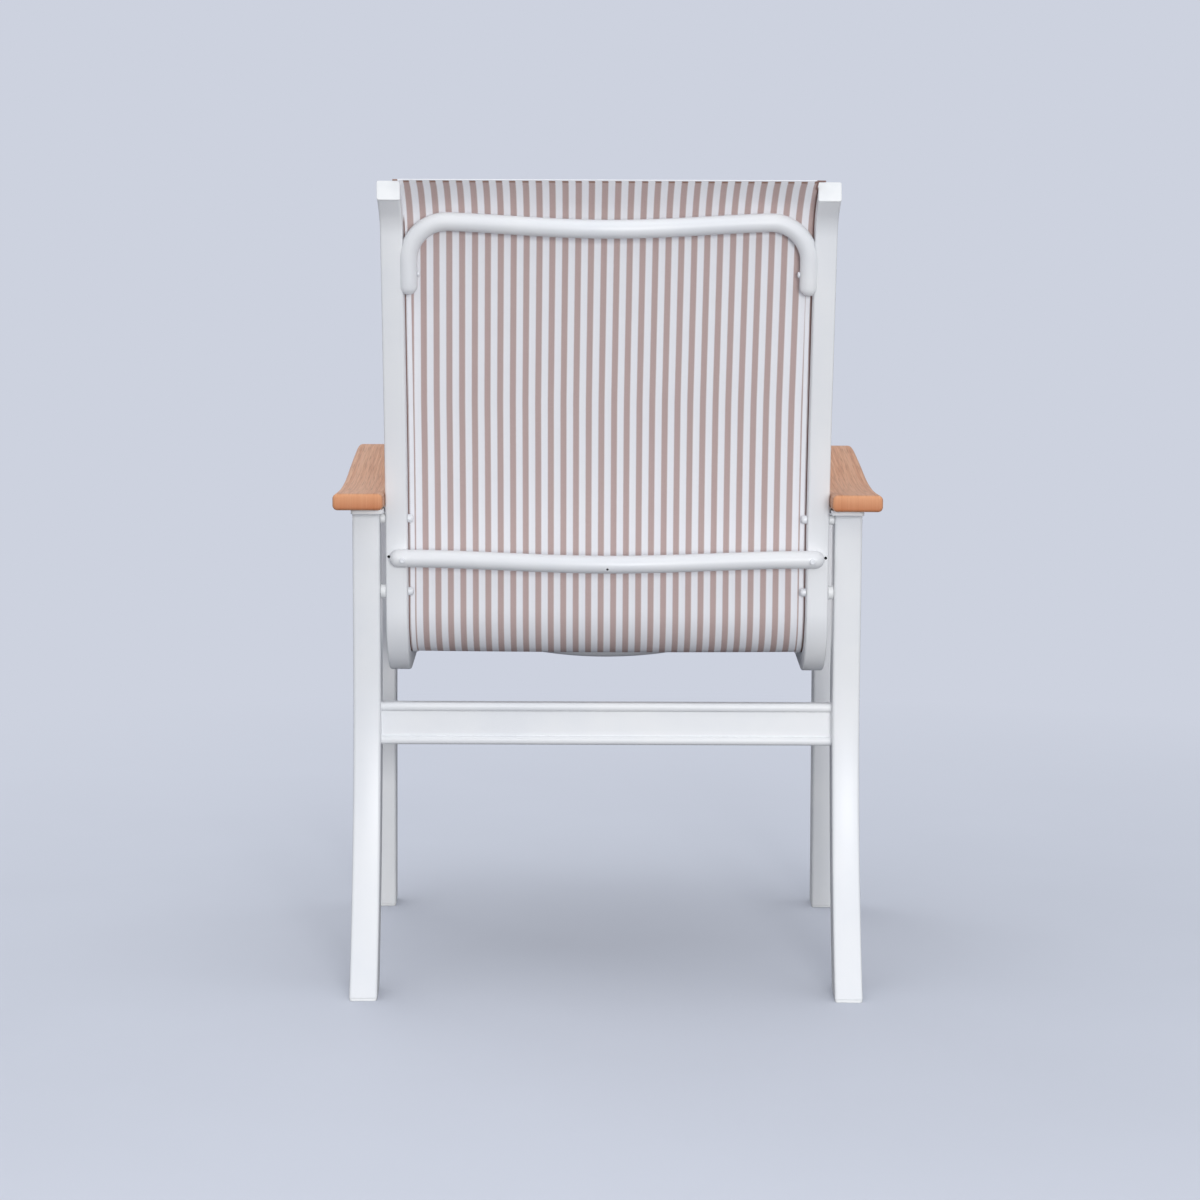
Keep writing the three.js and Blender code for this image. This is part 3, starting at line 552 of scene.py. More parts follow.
course = walk(*rail["top"], rail["topHeading"], rail["runs"])
lowerTubeCrossing = placeAtHeight(course, rail["top"][1] - rail["toLowerTube"])


def offsetFrom(place, distance):
    # a side-view place moved towards the sitter
    forward, height, heading = place
    return forward - distance * math.sin(heading), height + distance * math.cos(heading)


def flareTop(obj):
    low, high, share = rail["flare"]
    for vertex in obj.data.vertices:
        rise = min(1.0, max(0.0, (vertex.co.z - low) / (high - low)))
        vertex.co.x *= 1 + share * rise * rise


def makeRail():
    middle = (rail["span"] - rail["width"]) / 2
    inner = middle - rail["width"] / 2
    heading = rail["topHeading"]
    centre = sidePoint(*rail["top"], middle)
    obj = startOutline("rail", rail["width"], rail["depth"], centre, heading, rail["corner"])
    choose(obj, "EDGE", lambda e: abs(edgeMiddle(obj, e).x - inner) < 1e-5)
    bpy.ops.mesh.subdivide(number_cuts=4)
    leaveEditMode()
    # the four new corners become the slot in the outline
    inward = inwardDirection(heading)
    onInner = [v for v in obj.data.vertices if abs(v.co.x - inner) < 1e-5]
    onInner.sort(key=lambda v: (v.co - centre).dot(inward))
    low, high = (rail["slotAt"] + edge * rail["slotMouth"] / 2 for edge in (-1, 1))
    corners = [(low, 0.0), (low, rail["slotDeep"]), (high, rail["slotDeep"]), (high, 0.0)]
    for vertex, (rise, deep) in zip(onInner[1:5], corners):
        vertex.co = centre + inward * rise
        vertex.co.x = inner + deep
    editAll()
    sweep(*rail["top"], heading, rail["runs"])
    closeAndClean(obj)
    rear = offsetFrom(lowerTubeCrossing, -rail["depth"] / 2)
    weep = sidePoint(*rear, middle + rail["weepOutset"])
    rearward = -inwardDirection(lowerTubeCrossing[2])
    boreHole(obj, weep, rearward, rail["weepRadius"], rail["weepDepth"])
    flareTop(obj)
    bothSides(obj, 30, coat, "frame", "sling_rail_{}")


makeRail()
print("rails swept")

plug = {
    "over": 0.0004,  # beyond the rail, on each side
    "flange": 0.0022,
    "gap": 0.0003,
    "edge": 0.0009,
    "crown": ((0.0006, 0.0002), (0.0006, 0.0001)),  # insets and rises inside the rounded edge
}


def makePlug(place, heading, pattern):
    # a cap over the rail's end; the heading points out of the rail
    outward = sideDirection(heading)
    seat = sidePoint(*place, (rail["span"] - rail["width"]) / 2) + outward * plug["gap"]
    width, depth = (rail[side] + 2 * plug["over"] for side in ("width", "depth"))
    obj = startOutline("plug", width, depth, seat, heading, rail["corner"])
    extrude(outward * plug["flange"])
    closeAndClean(obj)
    bevelEdges(obj, plug["edge"], 4, 50)
    choose(obj, "FACE", lambda f: f.normal.dot(outward) > 0.999 and f.area > 1e-5)
    for inset, rise in plug["crown"]:
        bpy.ops.mesh.inset(thickness=inset, depth=rise)
    leaveEditMode()
    flareTop(obj)
    bothSides(obj, 40, plastic, "plug", pattern)


makePlug(rail["top"], rail["topHeading"] + math.pi, "rail_plug_top_{}")
makePlug(course[-1][:2], course[-1][2], "rail_plug_front_{}")
print("rail plugs made")


# Legs: rounded flat tubes. The rear ones sweep forward as they rise

leg = {
    "thickness": 0.0318,
    "depth": 0.052,
    "corner": 0.0034,
    "footTilt": math.radians(32.8),
    "lean": math.radians(5),
    "sweepRadius": 0.617,
    "straight": 0.222,
    "rearLead": 0.0196,
    "frontAt": 0.36601,
    "frontLength": 0.62,  # before the top is cut
    "glide": 0.0033,
    "headGap": 0.0003,
    "headDepth": 0.012,
    "barGap": 0.0006,
}
rearRuns = [
    {"radius": leg["sweepRadius"], "turn": leg["footTilt"] + leg["lean"], "steps": 40},
    {"length": leg["straight"]},
]
arm = {
    "length": 0.590,
    "width": 0.057,
    "thickness": 0.019,
    "edge": 0.0056,
    "endEdge": 0.0036,  # the same round the end faces
    "rear": 0.142,  # rear end behind the bend
    "underside": 0.55721,
    "rise": 0.0335,
    "alongShares": (0, 0.22, 0.41, 0.61, 0.85, 0.95, 1),
    "riseShares": (0, -0.015, 0.165, 0.57, 1, 0.955, 0.88),
    "inner": -0.00592,  # inner edge from the leg's inner face
    "barThickness": 0.0055,
    "barInset": 0.024,
    "barGap": 0.0003,
    "barCorner": 0.004,
    "barEdge": 0.0008,
}


def armRiseAt(share):
    # a smooth curve through the shares, as a Catmull-Rom spline
    xs, ys = arm["alongShares"], arm["riseShares"]
    share = min(max(share, 0.0), 1.0)
    i = max(k for k in range(len(xs) - 1) if xs[k] <= share)
    ps = [max(i - 1, 0), i, i + 1, min(i + 2, len(xs) - 1)]

    def spline(values, t):
        p0, p1, p2, p3 = (values[p] for p in ps)
        v0, v1 = (p2 - p0) * 0.5, (p3 - p1) * 0.5
        return (2 * p1 - 2 * p2 + v0 + v1) * t**3 + (3 * (p2 - p1) - 2 * v0 - v1) * t**2 + v0 * t + p1

    low, high = 0.0, 1.0
    for _ in range(24):
        t = (low + high) / 2
        low, high = (t, high) if spline(xs, t) < share else (low, t)
    return arm["rise"] * spline(ys, low)


def underArm(forward):
    return arm["underside"] + armRiseAt((forward + arm["rear"]) / arm["length"])


def middleOf(node):
    low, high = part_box(node)
    return (low + high) / 2


def rearFoot():
    # where the rear leg's line starts, so that it passes the upper bolt, and its heading there
    bolt = middleOf("frame_bolt_upper_left")
    height = -leg["depth"] / 2 * math.sin(leg["footTilt"])
    heading = math.pi / 2 - leg["footTilt"]
    atBolt = placeAtHeight(walk(0.0, height, heading, rearRuns), bolt.z)
    return chair["bendY"] - bolt.y + leg["rearLead"] - atBolt[0], height, heading


def sweepLeg(name, size, forward, height, heading, runs, bottom):
    place = sidePoint(forward, height, leg["thickness"] / 2)
    obj = startOutline(name, *size, place, heading, leg["corner"])
    sweep(forward, height, heading, runs)
    cutPlane((0, 0, bottom), (0, 0, 1), clear_inner=True)
    return obj


def legOnSideFrame(obj):
    obj.data.transform(Matrix.Translation((0, -chair["bendY"], 0)))
    onSideFrame(obj)


def finishLeg(obj, nearForward, pattern, *heads):
    # the top is cut along the support bar's underside
    top = underArm(nearForward) - arm["barThickness"] - leg["barGap"]
    near = 0.02
    slope = math.atan2(underArm(nearForward + near) - underArm(nearForward - near), 2 * near)
    cutPlane(sidePoint(nearForward, top), inwardDirection(slope), clear_outer=True)
    closeAndClean(obj)
    smooth(obj, 30)
    legOnSideFrame(obj)
    # a countersink round each head, at the head's own plane
    for node in heads:
        low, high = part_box(node + "_left")
        mouth, radius = (low + high) / 2, (high.z - low.z) / 2
        mouth.x = high.x
        drill(obj, mouth, Vector((1, 0, 0)), radius * 0.5, leg["headDepth"], radius + leg["headGap"])
    bothSides(obj, 30, coat, "frame", pattern)


def makeLegs():
    size = leg["thickness"], leg["depth"]
    rear = sweepLeg("rearLeg", size, *rearFoot(), rearRuns, leg["glide"])
    atBolt = chair["bendY"] - middleOf("frame_bolt_upper_left").y + leg["rearLead"]
    bolts = "frame_bolt_upper", "frame_bolt_lower"
    screws = "stretcher_screw_lower", "stretcher_screw_upper"
    finishLeg(rear, atBolt, "rear_leg_{}", *bolts, *screws)
    runs = [{"length": leg["frontLength"]}]
    front = sweepLeg("frontLeg", size, leg["frontAt"], 0.0, math.pi / 2, runs, leg["glide"])
    finishLeg(front, leg["frontAt"], "front_leg_{}", "frame_bolt_front")


makeLegs()
print("legs swept")


# Armrests: a rounded board, cut across into strips and bent along the arm's curve


def bendAlongArm(obj):
    for vertex in obj.data.vertices:
        vertex.co.z += armRiseAt((arm["rear"] - vertex.co.y) / arm["length"])


def cutAcross(rear, front, count):
    for i in range(1, count):
        cutPlane((0, rear + (front - rear) * i / count, 0), (0, 1, 0))
    leaveEditMode()


def makeArms():
    # the end's outline, rounded, drawn out along the board
    middle = arm["inner"] + arm["width"] / 2
    rear = Vector((middle, arm["rear"], arm["underside"] + arm["thickness"] / 2))
    ends = arm["rear"], arm["rear"] - arm["length"]
    obj = startOutline("arm", arm["width"], arm["thickness"], rear, 0.0, arm["edge"], 6)
    extrude((0, -arm["length"], 0))
    closeAndClean(obj)
    choose(obj, "EDGE", lambda e: min(abs(edgeMiddle(obj, e).y - end) for end in ends) < 1e-5)
    bpy.ops.mesh.bevel(offset=arm["endEdge"], segments=4)
    cutAcross(ends[0] - arm["endEdge"], ends[1] + arm["endEdge"], 40)
    addGrain(obj)
    bendAlongArm(obj)
    closeAndClean(obj)
    onSideFrame(obj)
    bothSides(obj, 40, timber, "arm", "armrest_{}")


def addGrain(obj):
    # the grain's map in metres, along the board and round it, a mask for the end faces, and each
    # corner's height in the board, which places the ends' painted highlight and painted shade
    obj.data.uv_layers.new(name="grain")
    for name in ("endFace", "paintedLightRise"):
        obj.data.attributes.new(name, "FLOAT", "CORNER")
    grain, ends, paintedLightRises = (obj.data.attributes[name] for name in ("grain", "endFace", "paintedLightRise"))
    for face in obj.data.polygons:
        onEnd = min(1.0, max(0.0, abs(face.normal.y) * 1.6 - 0.5))
        sideways = abs(face.normal.x) > 0.75
        for corner in face.loop_indices:
            place = obj.data.vertices[obj.data.loops[corner].vertex_index].co
            across = place.z + 0.1 if sideways else place.x
            along = place.z * 0.4 if onEnd > 0.9 else place.y
            grain.data[corner].vector = (along, across)
            ends.data[corner].value = onEnd
            paintedLightRises.data[corner].value = (place.z - arm["underside"]) / arm["thickness"]


def makeBars():
    top = arm["underside"] - arm["barGap"]
    front = arm["rear"] - arm["length"] + arm["barInset"]
    low = Vector((arm["inner"] + 0.001, front, top - arm["barThickness"]))
    high = Vector((leg["thickness"], arm["rear"] - arm["barInset"], top))
    middle, corner = (low + high) / 2, arm["barCorner"]
    obj = start(bpy.ops.mesh.primitive_cube_add, "bar", middle, scale=high - low, size=1)
    choose(obj, "EDGE", lambda e: abs(edgeMiddle(obj, e).z - middle.z) < 1e-5)
    bpy.ops.mesh.bevel(offset=corner, segments=4)
    cutAcross(high.y - corner, low.y + corner, 36)
    bendAlongArm(obj)
    closeAndClean(obj)
    bevelEdges(obj, arm["barEdge"], 3, 40)
    onSideFrame(obj)
    bothSides(obj, 35, coat, "frame", "arm_support_bar_{}")


makeArms()
makeBars()
print("armrests and bars bent")


# Cross tubes: curves given a round bevel, made meshes, and closed with domes

tube = {
    "upperRadius": 0.0105,
    "lowerRadius": 0.01025,
    "seatRadius": 0.0105,
    "upperDrop": 0.1015,
    "upperInset": 0.006,
    "upperLegs": 0.0745,
    "upperBend": 0.046,
    "upperBow": 0.024,
    "upperSag": 0.004,
    "upperSeat": 0.005,
    "lowerInset": 0.0036,
    "lowerBow": 0.022,
    "lowerDrop": 0.0045,
    "seatAt": 0.320,
    "seatFromUnderside": 0.0068,
    "seatSag": 0.051,
    "seatOverrun": 0.008,  # past the rails' inner faces, before the ends are cut
    "weepRadius": 0.0014,
    "weepTurn": math.radians(28),  # below level
    "gap": 0.0003,
}


def tubeAlong(name, points, radius):
    clearSelection()
    bpy.ops.curve.primitive_nurbs_path_add(location=(0, 0, 0))
    obj = bpy.context.object
    obj.name = name
    obj.data.splines.clear()
    line = obj.data.splines.new("POLY")
    line.points.add(len(points) - 1)
    for point, place in zip(line.points, points):
        point.co = (*place, 1)
    obj.data.bevel_depth, obj.data.bevel_resolution = radius, 12
    obj.data.use_fill_caps = False
    bpy.ops.object.convert(target="MESH")
    obj = bpy.context.object
    obj.data.name = name
    return obj


def domeEnds(obj, points, radius, steps=6):
    # each open end of the tube is drawn out into a dome
    for centre, inner in (points[:2], points[:-3:-1]):
        direction = (centre - inner).normalized()

        def onRim(vertex):
            reach = vertex.co - centre
            return reach.length < radius * 1.2 and abs(reach.dot(direction)) < 1e-4

        choose(obj, "VERT", onRim)
        last = 0.0
        for i in range(1, steps):
            turn = i / steps * math.pi / 2
            extrude(direction * radius * (math.sin(turn) - math.sin(last)))
            share = math.cos(turn) / math.cos(last)
            ring = centre + direction * radius * math.sin(turn)
            bpy.ops.transform.resize(value=(share, share, share), center_override=ring)
            last = turn
        extrude(direction * radius * (1 - math.sin(last)))
        bpy.ops.mesh.merge(type="CENTER")
    closeAndClean(obj)


def easeAcross(x, reach):
    return math.cos(math.pi * x / (2 * reach)) ** 2


def railCutter(place, side):
    # the straight of the back's rail with a gap round it, and on towards the sitter
    gap, depth, reach = tube["gap"], 2 * rail["depth"], 0.08
    width = rail["width"] + gap
    middle = side * (rail["span"] / 2 - width / 2)
    forward, height, heading = place
    above = (forward - reach * math.cos(heading), height - reach * math.sin(heading), heading)
    centre = offsetFrom(above, depth / 2 - rail["depth"] / 2 - gap)
    cutter = startOutline("railCutter", width, depth, sidePoint(*centre, middle), heading)
    extrude(sideDirection(heading) * 2 * reach)
    closeAndClean(cutter)
    return cutter


def makeUpperTube():
    end = rail["span"] / 2 - rail["width"] - tube["gap"] - tube["upperSeat"]
    foot = placeAtHeight(course, rail["top"][1] - tube["upperDrop"])
    base = sidePoint(*offsetFrom(foot, tube["upperInset"] - rail["depth"] / 2))
    up, back = -sideDirection(foot[2]), -inwardDirection(foot[2])
    # the tube's line in its own plane: up, round a bend, across, round and down
    bend, straight = tube["upperBend"], tube["upperLegs"] - tube["upperBend"]
    flat = [(-end, straight * i / 4) for i in range(5)]
    for i in range(1, 15):
        turn = math.pi / 2 * i / 14
        flat.append((-end + bend * (1 - math.cos(turn)), straight + bend * math.sin(turn)))
    half = end - bend
    flat += [(-half + 2 * half * i / 40, tube["upperLegs"]) for i in range(1, 20)]
    flat += [(0.0, tube["upperLegs"])] + [(-x, y) for x, y in reversed(flat)]
    points = []
    for x, y in flat:
        ease = easeAcross(x, end)
        rise, bow = y - tube["upperSag"] * ease, tube["upperBow"] * ease
        points.append(Vector((x, 0, 0)) + base + up * rise + back * bow)
    obj = tubeAlong("upperTube", points, tube["upperRadius"])
    domeEnds(obj, points, tube["upperRadius"])
    for side in (1, -1):
        combine(obj, railCutter(foot, side), "DIFFERENCE")
    single(obj, 40, "upper_cross_tube")


def makeLowerTube():
    reach = (rail["span"] - rail["width"]) / 2 - tube["lowerInset"]
    radius = tube["lowerRadius"]
    base = sidePoint(*offsetFrom(lowerTubeCrossing, -rail["depth"] / 2 - tube["gap"] - radius))
    points = []
    for i in range(61):
        x = -reach + 2 * reach * i / 60
        ease = easeAcross(x, reach)
        points.append(base + Vector((x, tube["lowerBow"] * ease, -tube["lowerDrop"] * ease)))
    obj = tubeAlong("lowerTube", points, radius)
    domeEnds(obj, points, radius)
    outward = Vector((0, math.cos(tube["weepTurn"]), -math.sin(tube["weepTurn"])))
    boreHole(obj, points[30] + outward * radius, outward, tube["weepRadius"], 1.6 * radius)
    single(obj, 40, "lower_cross_tube")


def makeSeatTube():
    inner = rail["span"] / 2 - rail["width"]
    seat = [p for p in course if p[2] > 0 and 0.02 < p[0] <= tube["seatAt"]]
    forward, height, heading = max(seat)
    height += (tube["seatAt"] - forward) * math.tan(heading)
    base = offsetFrom((tube["seatAt"], height, heading), tube["seatFromUnderside"] - rail["depth"] / 2)
    sag, end = tube["seatSag"], inner + tube["seatOverrun"]
    radius = (inner**2 + sag**2) / (2 * sag)
    points = []
    for i in range(61):
        x = -end + 2 * end * i / 60
        drop = radius - sag - math.sqrt(radius**2 - x**2)
        points.append(sidePoint(base[0], base[1] + drop, x))
    obj = tubeAlong("seatTube", points, tube["seatRadius"])
    for side in (1, -1):
        cut = Vector((side * (inner - tube["gap"]), 0, 0))
        cutPlane(cut, cut, clear_outer=True)
    closeAndClean(obj)
    single(obj, 40, "under_seat_tube")


makeUpperTube()
makeLowerTube()
makeSeatTube()
print("cross tubes bent")


# Stretcher: an H-shaped section with round beads, drawn across the chair

stretcher = {"bead": 0.0104, "depth": 0.020, "web": 0.006, "corner": 0.0044}


def makeStretcher():
    low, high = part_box("rear_stretcher")
    length, tall = high.x - low.x, high.z - low.z
    middleY, middleZ = (low.y + high.y) / 2, (low.z + high.z) / 2
    place, size = (-length / 2, middleY, middleZ), (tall, stretcher["depth"], 1)
    turn = (0, math.pi / 2, 0)
    obj = start(bpy.ops.mesh.primitive_plane_add, "stretcher", place, turn, size, size=1)
    for height in (low.z + stretcher["bead"], high.z - stretcher["bead"]):
        cutPlane((0, 0, height), (0, 0, 1))
    for side in (-1, 1):
        cutPlane((0, middleY + side * stretcher["web"] / 2, 0), (0, 1, 0))
    inWeb = lambda f: abs(f.center.z - middleZ) < tall / 2 - stretcher["bead"] - 0.001
    choose(obj, "FACE", lambda f: inWeb(f) and abs(f.center.y - middleY) > stretcher["web"] / 2)
    bpy.ops.mesh.delete(type="FACE")
    choose(obj, "VERT", lambda v: abs(abs(v.co.y - middleY) - stretcher["depth"] / 2) < 1e-5)
    bpy.ops.mesh.bevel(offset=stretcher["corner"], segments=5, affect="VERTICES")
    editAll("EDGE")
    bpy.ops.mesh.region_to_loop()
    bpy.ops.mesh.select_all(action="INVERT")
    bpy.ops.mesh.dissolve_edges()
    bpy.ops.mesh.select_all(action="SELECT")
    extrude((length, 0, 0))
    closeAndClean(obj)
    single(obj, 30, "rear_stretcher")


makeStretcher()
print("stretcher drawn")


# Fasteners and glides: each kind is turned once, along +Z, and copied to its places

fasteners = {
    "boltHead": (0.0064, 0.003),  # radii of head and shank
    "stretcherHead": (0.005, 0.0025),
    "smallHead": (0.0034, 0.0022),  # radius and height
    "smallShank": 0.002,
    "capNut": (0.0048, 0.0065),
    "shank": 0.012,
    "spacerEdge": 0.0006,
}
glide = {"inset": 0.0008, "height": 0.003, "edge": 0.0007}


def recessAndShank(obj, flat, headRadius, shankRadius):
    # a round recess in the flat top, and a shank drawn out below
    choose(obj, "FACE", lambda f: f.normal.z > 0.99)
    bpy.ops.mesh.inset(thickness=flat * 0.4)
    extrude((0, 0, -flat * 0.35))
    choose(obj, "FACE", lambda f: f.normal.z < -0.99)
    if headRadius > shankRadius:
        bpy.ops.mesh.inset(thickness=headRadius - shankRadius)
    extrude((0, 0, -fasteners["shank"]))
    closeAndClean(obj)


def roundedBlank(name, radius, height, rounding, segments):
    # it stands on the height 0, with its upper rim rounded
    add, middle = bpy.ops.mesh.primitive_cylinder_add, (0, 0, height / 2)
    obj = start(add, name, middle, vertices=32, radius=radius, depth=height)
    choose(obj, "EDGE", lambda e: edgeMiddle(obj, e).z > height * 0.9)
    bpy.ops.mesh.bevel(offset=rounding, segments=segments)
    return obj


def domedHead(name, radius, height, shankRadius):
    obj = roundedBlank(name, radius, height, height * 0.6, 5)
    recessAndShank(obj, radius - height * 0.6, radius, shankRadius)
    return obj


def sunkHead(name, radius, shankRadius):
    # its flat top is at the height 0
    tall, add = radius - shankRadius, bpy.ops.mesh.primitive_cone_add
    sizes = {"vertices": 32, "radius1": shankRadius, "radius2": radius, "depth": tall}
    obj = start(add, name, (0, 0, -tall / 2), **sizes)
    recessAndShank(obj, radius, shankRadius, shankRadius)
    return obj


def turnedNut(name, radius, height):
    obj = roundedBlank(name, radius, height, radius * 0.62, 8)
    closeAndClean(obj)
    return obj


def placeHead(master, node, place, direction):
    turn = direction.normalized().to_track_quat("Z", "Y").to_matrix().to_4x4()
    obj = copyOf(master, node + "_finish", Matrix.Translation(place) @ turn)
    smooth(obj, 40)
    install(obj, screwPaint, "hardware", node)


def makeFasteners():
    bolt = sunkHead("boltHead", *fasteners["boltHead"])
    sunk = sunkHead("stretcherHead", *fasteners["stretcherHead"])
    small = domedHead("smallHead", *fasteners["smallHead"], fasteners["smallShank"])
    nut = turnedNut("capNut", *fasteners["capNut"])
    radius, tall = fasteners["smallHead"]
    rearward = -inwardDirection(lowerTubeCrossing[2])
    # those across the chair, each with its end of the node (1 outer), its way and its height
    across = [(bolt, f"frame_bolt_{level}", 1, 1, 0.0) for level in ("upper", "lower", "front")]
    across += [(nut, f"cap_nut_{level}", 1, -1, 0.0) for level in ("upper", "lower", "front")]
    across += [(sunk, f"stretcher_screw_{level}", 1, 1, 0.0) for level in ("upper", "lower")]
    across += [(small, "under_seat_screw", 1, 1, tall), (small, "upper_tube_screw", -1, -1, tall)]
    for name, side in (("left", 1), ("right", -1)):
        for master, stem, end, facing, back in across:
            node = f"{stem}_{name}"
            place, (low, high) = middleOf(node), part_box(node)
            place.x = (high if side * end > 0 else low).x - side * end * back
            placeHead(master, node, place, Vector((side * facing, 0, 0)))
        # its rear face is at the node's rear, on an axis square to the rail
        node = f"lower_tube_screw_{name}"
        low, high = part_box(node)
        reach = ((high - low).y - 2 * radius * abs(rearward.z)) / 2 / rearward.y
        placeHead(small, node, (low + high) / 2 + rearward * (reach - tall), rearward)
        for end in ("rear", "front"):
            node = f"arm_screw_{end}_{name}"
            place = middleOf(node)
            place.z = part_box(node)[0].z + tall
            placeHead(small, node, place, Vector((0, 0, -1)))
    for master in (bolt, sunk, small, nut):
        bpy.data.objects.remove(master)


def makeSpacers():
    for level in ("upper", "lower", "front"):
        for name in ("left", "right"):
            node = f"spacer_{level}_{name}"
            low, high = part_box(node)
            sizes = {"vertices": 40, "radius": (high.z - low.z) / 2, "depth": high.x - low.x}
            add, turn = bpy.ops.mesh.primitive_cylinder_add, (0, math.pi / 2, 0)
            obj = start(add, node + "_finish", (low + high) / 2, turn, **sizes)
            bevelEdges(obj, fasteners["spacerEdge"], 3, 60)
            smooth(obj, 40)
            install(obj, plastic, "hardware", node)


def makeGlides():
    # a foot's plug, its rim rounded, cut from the leg's own outline at the floor
    size = leg["thickness"] - glide["inset"], leg["depth"] - glide["inset"]
    sweepOn = {"radius": leg["sweepRadius"], "turn": 0.06, "steps": 4}
    feet = {
        "rear": (*rearFoot(), [sweepOn]),
        "front": (leg["frontAt"], -0.01, math.pi / 2, [{"length": 0.03}]),
    }
    for end, way in feet.items():
        obj = sweepLeg("glide", size, *way, 0.0)
        cutPlane((0, 0, glide["height"]), (0, 0, 1), clear_outer=True)
        closeAndClean(obj)
        legOnSideFrame(obj)
        bevelEdges(obj, glide["edge"], 3, 50)
        bothSides(obj, 40, plastic, "plug", f"foot_glide_{end}_{{}}")


makeFasteners()
makeSpacers()
makeGlides()
print("fasteners and glides placed")


# Sling: one stretched sheet, mapped in metres so that its stripes run down the back and along the seat

sling = {
    "thickness": 0.0012,
    "topOverhang": 0.0115,
    "frontInset": 0.003,
    "edge": 0.2335,  # half width, just inside the rails' slots
    "columns": 56,
    "sag": 0.0012,
    "sagFrom": 0.12,  # full from that distance to the ends
    "spread": 0.005,  # how much wider the hem grows at the top edge
    "clear": (0.0105, 0.2296),  # half width beside the caps, down to that distance from the top
    "flapTop": 0.803,  # height where the folded hems come out behind the upper tube's ends
    "flapDepth": 0.0009,
    "flapGap": 0.00015,
    "flap": (0.2236, 0.2285),
    "flapPattern": 0.2182,  # where its middle lies in the stripes' pattern
    "corner": (0.2290, 0.2408, 0.0010),  # where the top hem's corners reach, and their radius
    "cornerPattern": {"left": -0.0161, "right": 0.0008},  # their shift in the stripes' pattern
    "cornerAlong": 0.0035,
}


def slingLine(topExtra, frontExtra):
    # places along the sling's course, with the distance travelled
    runs = [dict(run) for run in rail["runs"]]
    runs[0]["length"] += topExtra
    runs[-1]["length"] += frontExtra
    heading = rail["topHeading"]
    forward = rail["top"][0] - topExtra * math.cos(heading)
    height = rail["top"][1] - topExtra * math.sin(heading)
    line, travelled, last = [], 0.0, None
    for place in walk(forward, height, heading, runs, 0.005):
        here = offsetFrom(place, rail["slotAt"])
        travelled += math.dist(here, last) if last else 0.0
        last = here
        line.append((here, place[2], travelled))
    return line


def makeSheet(name, columns, line, lift, across=lambda x: x):
    # a grid whose rows follow the course; columns are places across the chair
    wide = len(columns)
    clearSelection()
    bpy.ops.mesh.primitive_grid_add(x_subdivisions=wide - 1, y_subdivisions=len(line) - 1, size=1)
    obj = bpy.context.object
    obj.name = obj.data.name = name
    for i, vertex in enumerate(obj.data.vertices):
        (forward, height), heading, travelled = line[i // wide]
        x = columns[i % wide]
        if travelled < sling["clear"][0]:
            x = math.copysign(min(abs(x), sling["clear"][1]), x)
        wider = 1 + sling["spread"] * max(0.0, 1 - travelled / sling["topOverhang"])
        raised = inwardDirection(heading) * lift(x, travelled)
        vertex.co = sidePoint(forward, height, x * wider) + raised
    mapping = obj.data.uv_layers.new(name="cloth")
    for corner in obj.data.loops:
        i = corner.vertex_index
        mapping.data[corner.index].uv = (across(columns[i % wide]), line[i // wide][2])
    return obj


def thicken(obj, thickness):
    applyModifier(obj, "SOLIDIFY", thickness=thickness, offset=0.0)
    smooth(obj, 60)


def makeFlap(name, side, line):
    # the side hem folded back behind the sheet
    inner, outer = sling["flap"]
    columns = sorted(side * (inner + (outer - inner) * i / 4) for i in range(5))
    first = next(i for i, entry in enumerate(line) if entry[0][1] < sling["flapTop"])
    behind = (sling["thickness"] + sling["flapDepth"]) / 2 + sling["flapGap"]
    middle = side * (inner + outer) / 2
    across = lambda x: side * sling["flapPattern"] + x - middle
    lift = lambda x, travelled: -behind - sling["sag"] * (1 - (x / sling["edge"]) ** 2)
    obj = makeSheet(f"sling_flap_{name}", columns, line[first:], lift, across)
    thicken(obj, sling["flapDepth"])
    return obj


def makeCorner(name, side, line):
    # the top hem's corner, folded into a short roll that lies over the rail's cap
    near, far, radius = sling["corner"]
    (forward, height), heading, _ = line[0]
    forward += radius * math.cos(heading)
    height += radius * math.sin(heading)
    place = sidePoint(forward, height, side * (near + far) / 2)
    add, turn = bpy.ops.mesh.primitive_cylinder_add, (0, math.pi / 2, 0)
    sizes = {"vertices": 24, "radius": radius, "depth": far - near}
    obj = start(add, f"sling_corner_{name}", place, turn, **sizes)
    closeAndClean(obj)
    bevelEdges(obj, radius * 0.5, 3, 60)
    mapping = obj.data.uv_layers.new(name="cloth")
    for corner in obj.data.loops:
        across = obj.data.vertices[corner.vertex_index].co.x + sling["cornerPattern"][name]
        mapping.data[corner.index].uv = (across, sling["cornerAlong"])
    smooth(obj, 40)
    return obj


def makeSling():
    line = slingLine(sling["topOverhang"], -sling["frontInset"])
    length, half = line[-1][2], sling["edge"]
    columns = [-half + 2 * half * i / sling["columns"] for i in range(sling["columns"] + 1)]

    def sagged(x, travelled):
        ease = 1 - (x / half) ** 2
        ends = min(1.0, travelled / sling["sagFrom"], (length - travelled) / sling["sagFrom"])
        return -sling["sag"] * ease * max(0.0, ends)

    sheet = makeSheet("sling_cloth", columns, line, sagged)
    flareTop(sheet)
    thicken(sheet, sling["thickness"])
    install(sheet, cloth, "sling", "sling")
    hems = []
    for name, side in (("left", 1), ("right", -1)):
        hems += [makeFlap(name, side, line), makeCorner(name, side, line)]
    for hem in hems:
        install(hem, cloth, "sling")
    2 * half
    print("sling", round(2 * half, 4), "by", round(length, 4))


makeSling()


def dressRods():
    for name in ("left", "right"):
        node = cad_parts[f"spline_rod_{name}"]
        node.data.materials.clear()
        node.data.materials.append(splineGrey)


dressRods()
print("sling stretched")


# Floor, light and camera

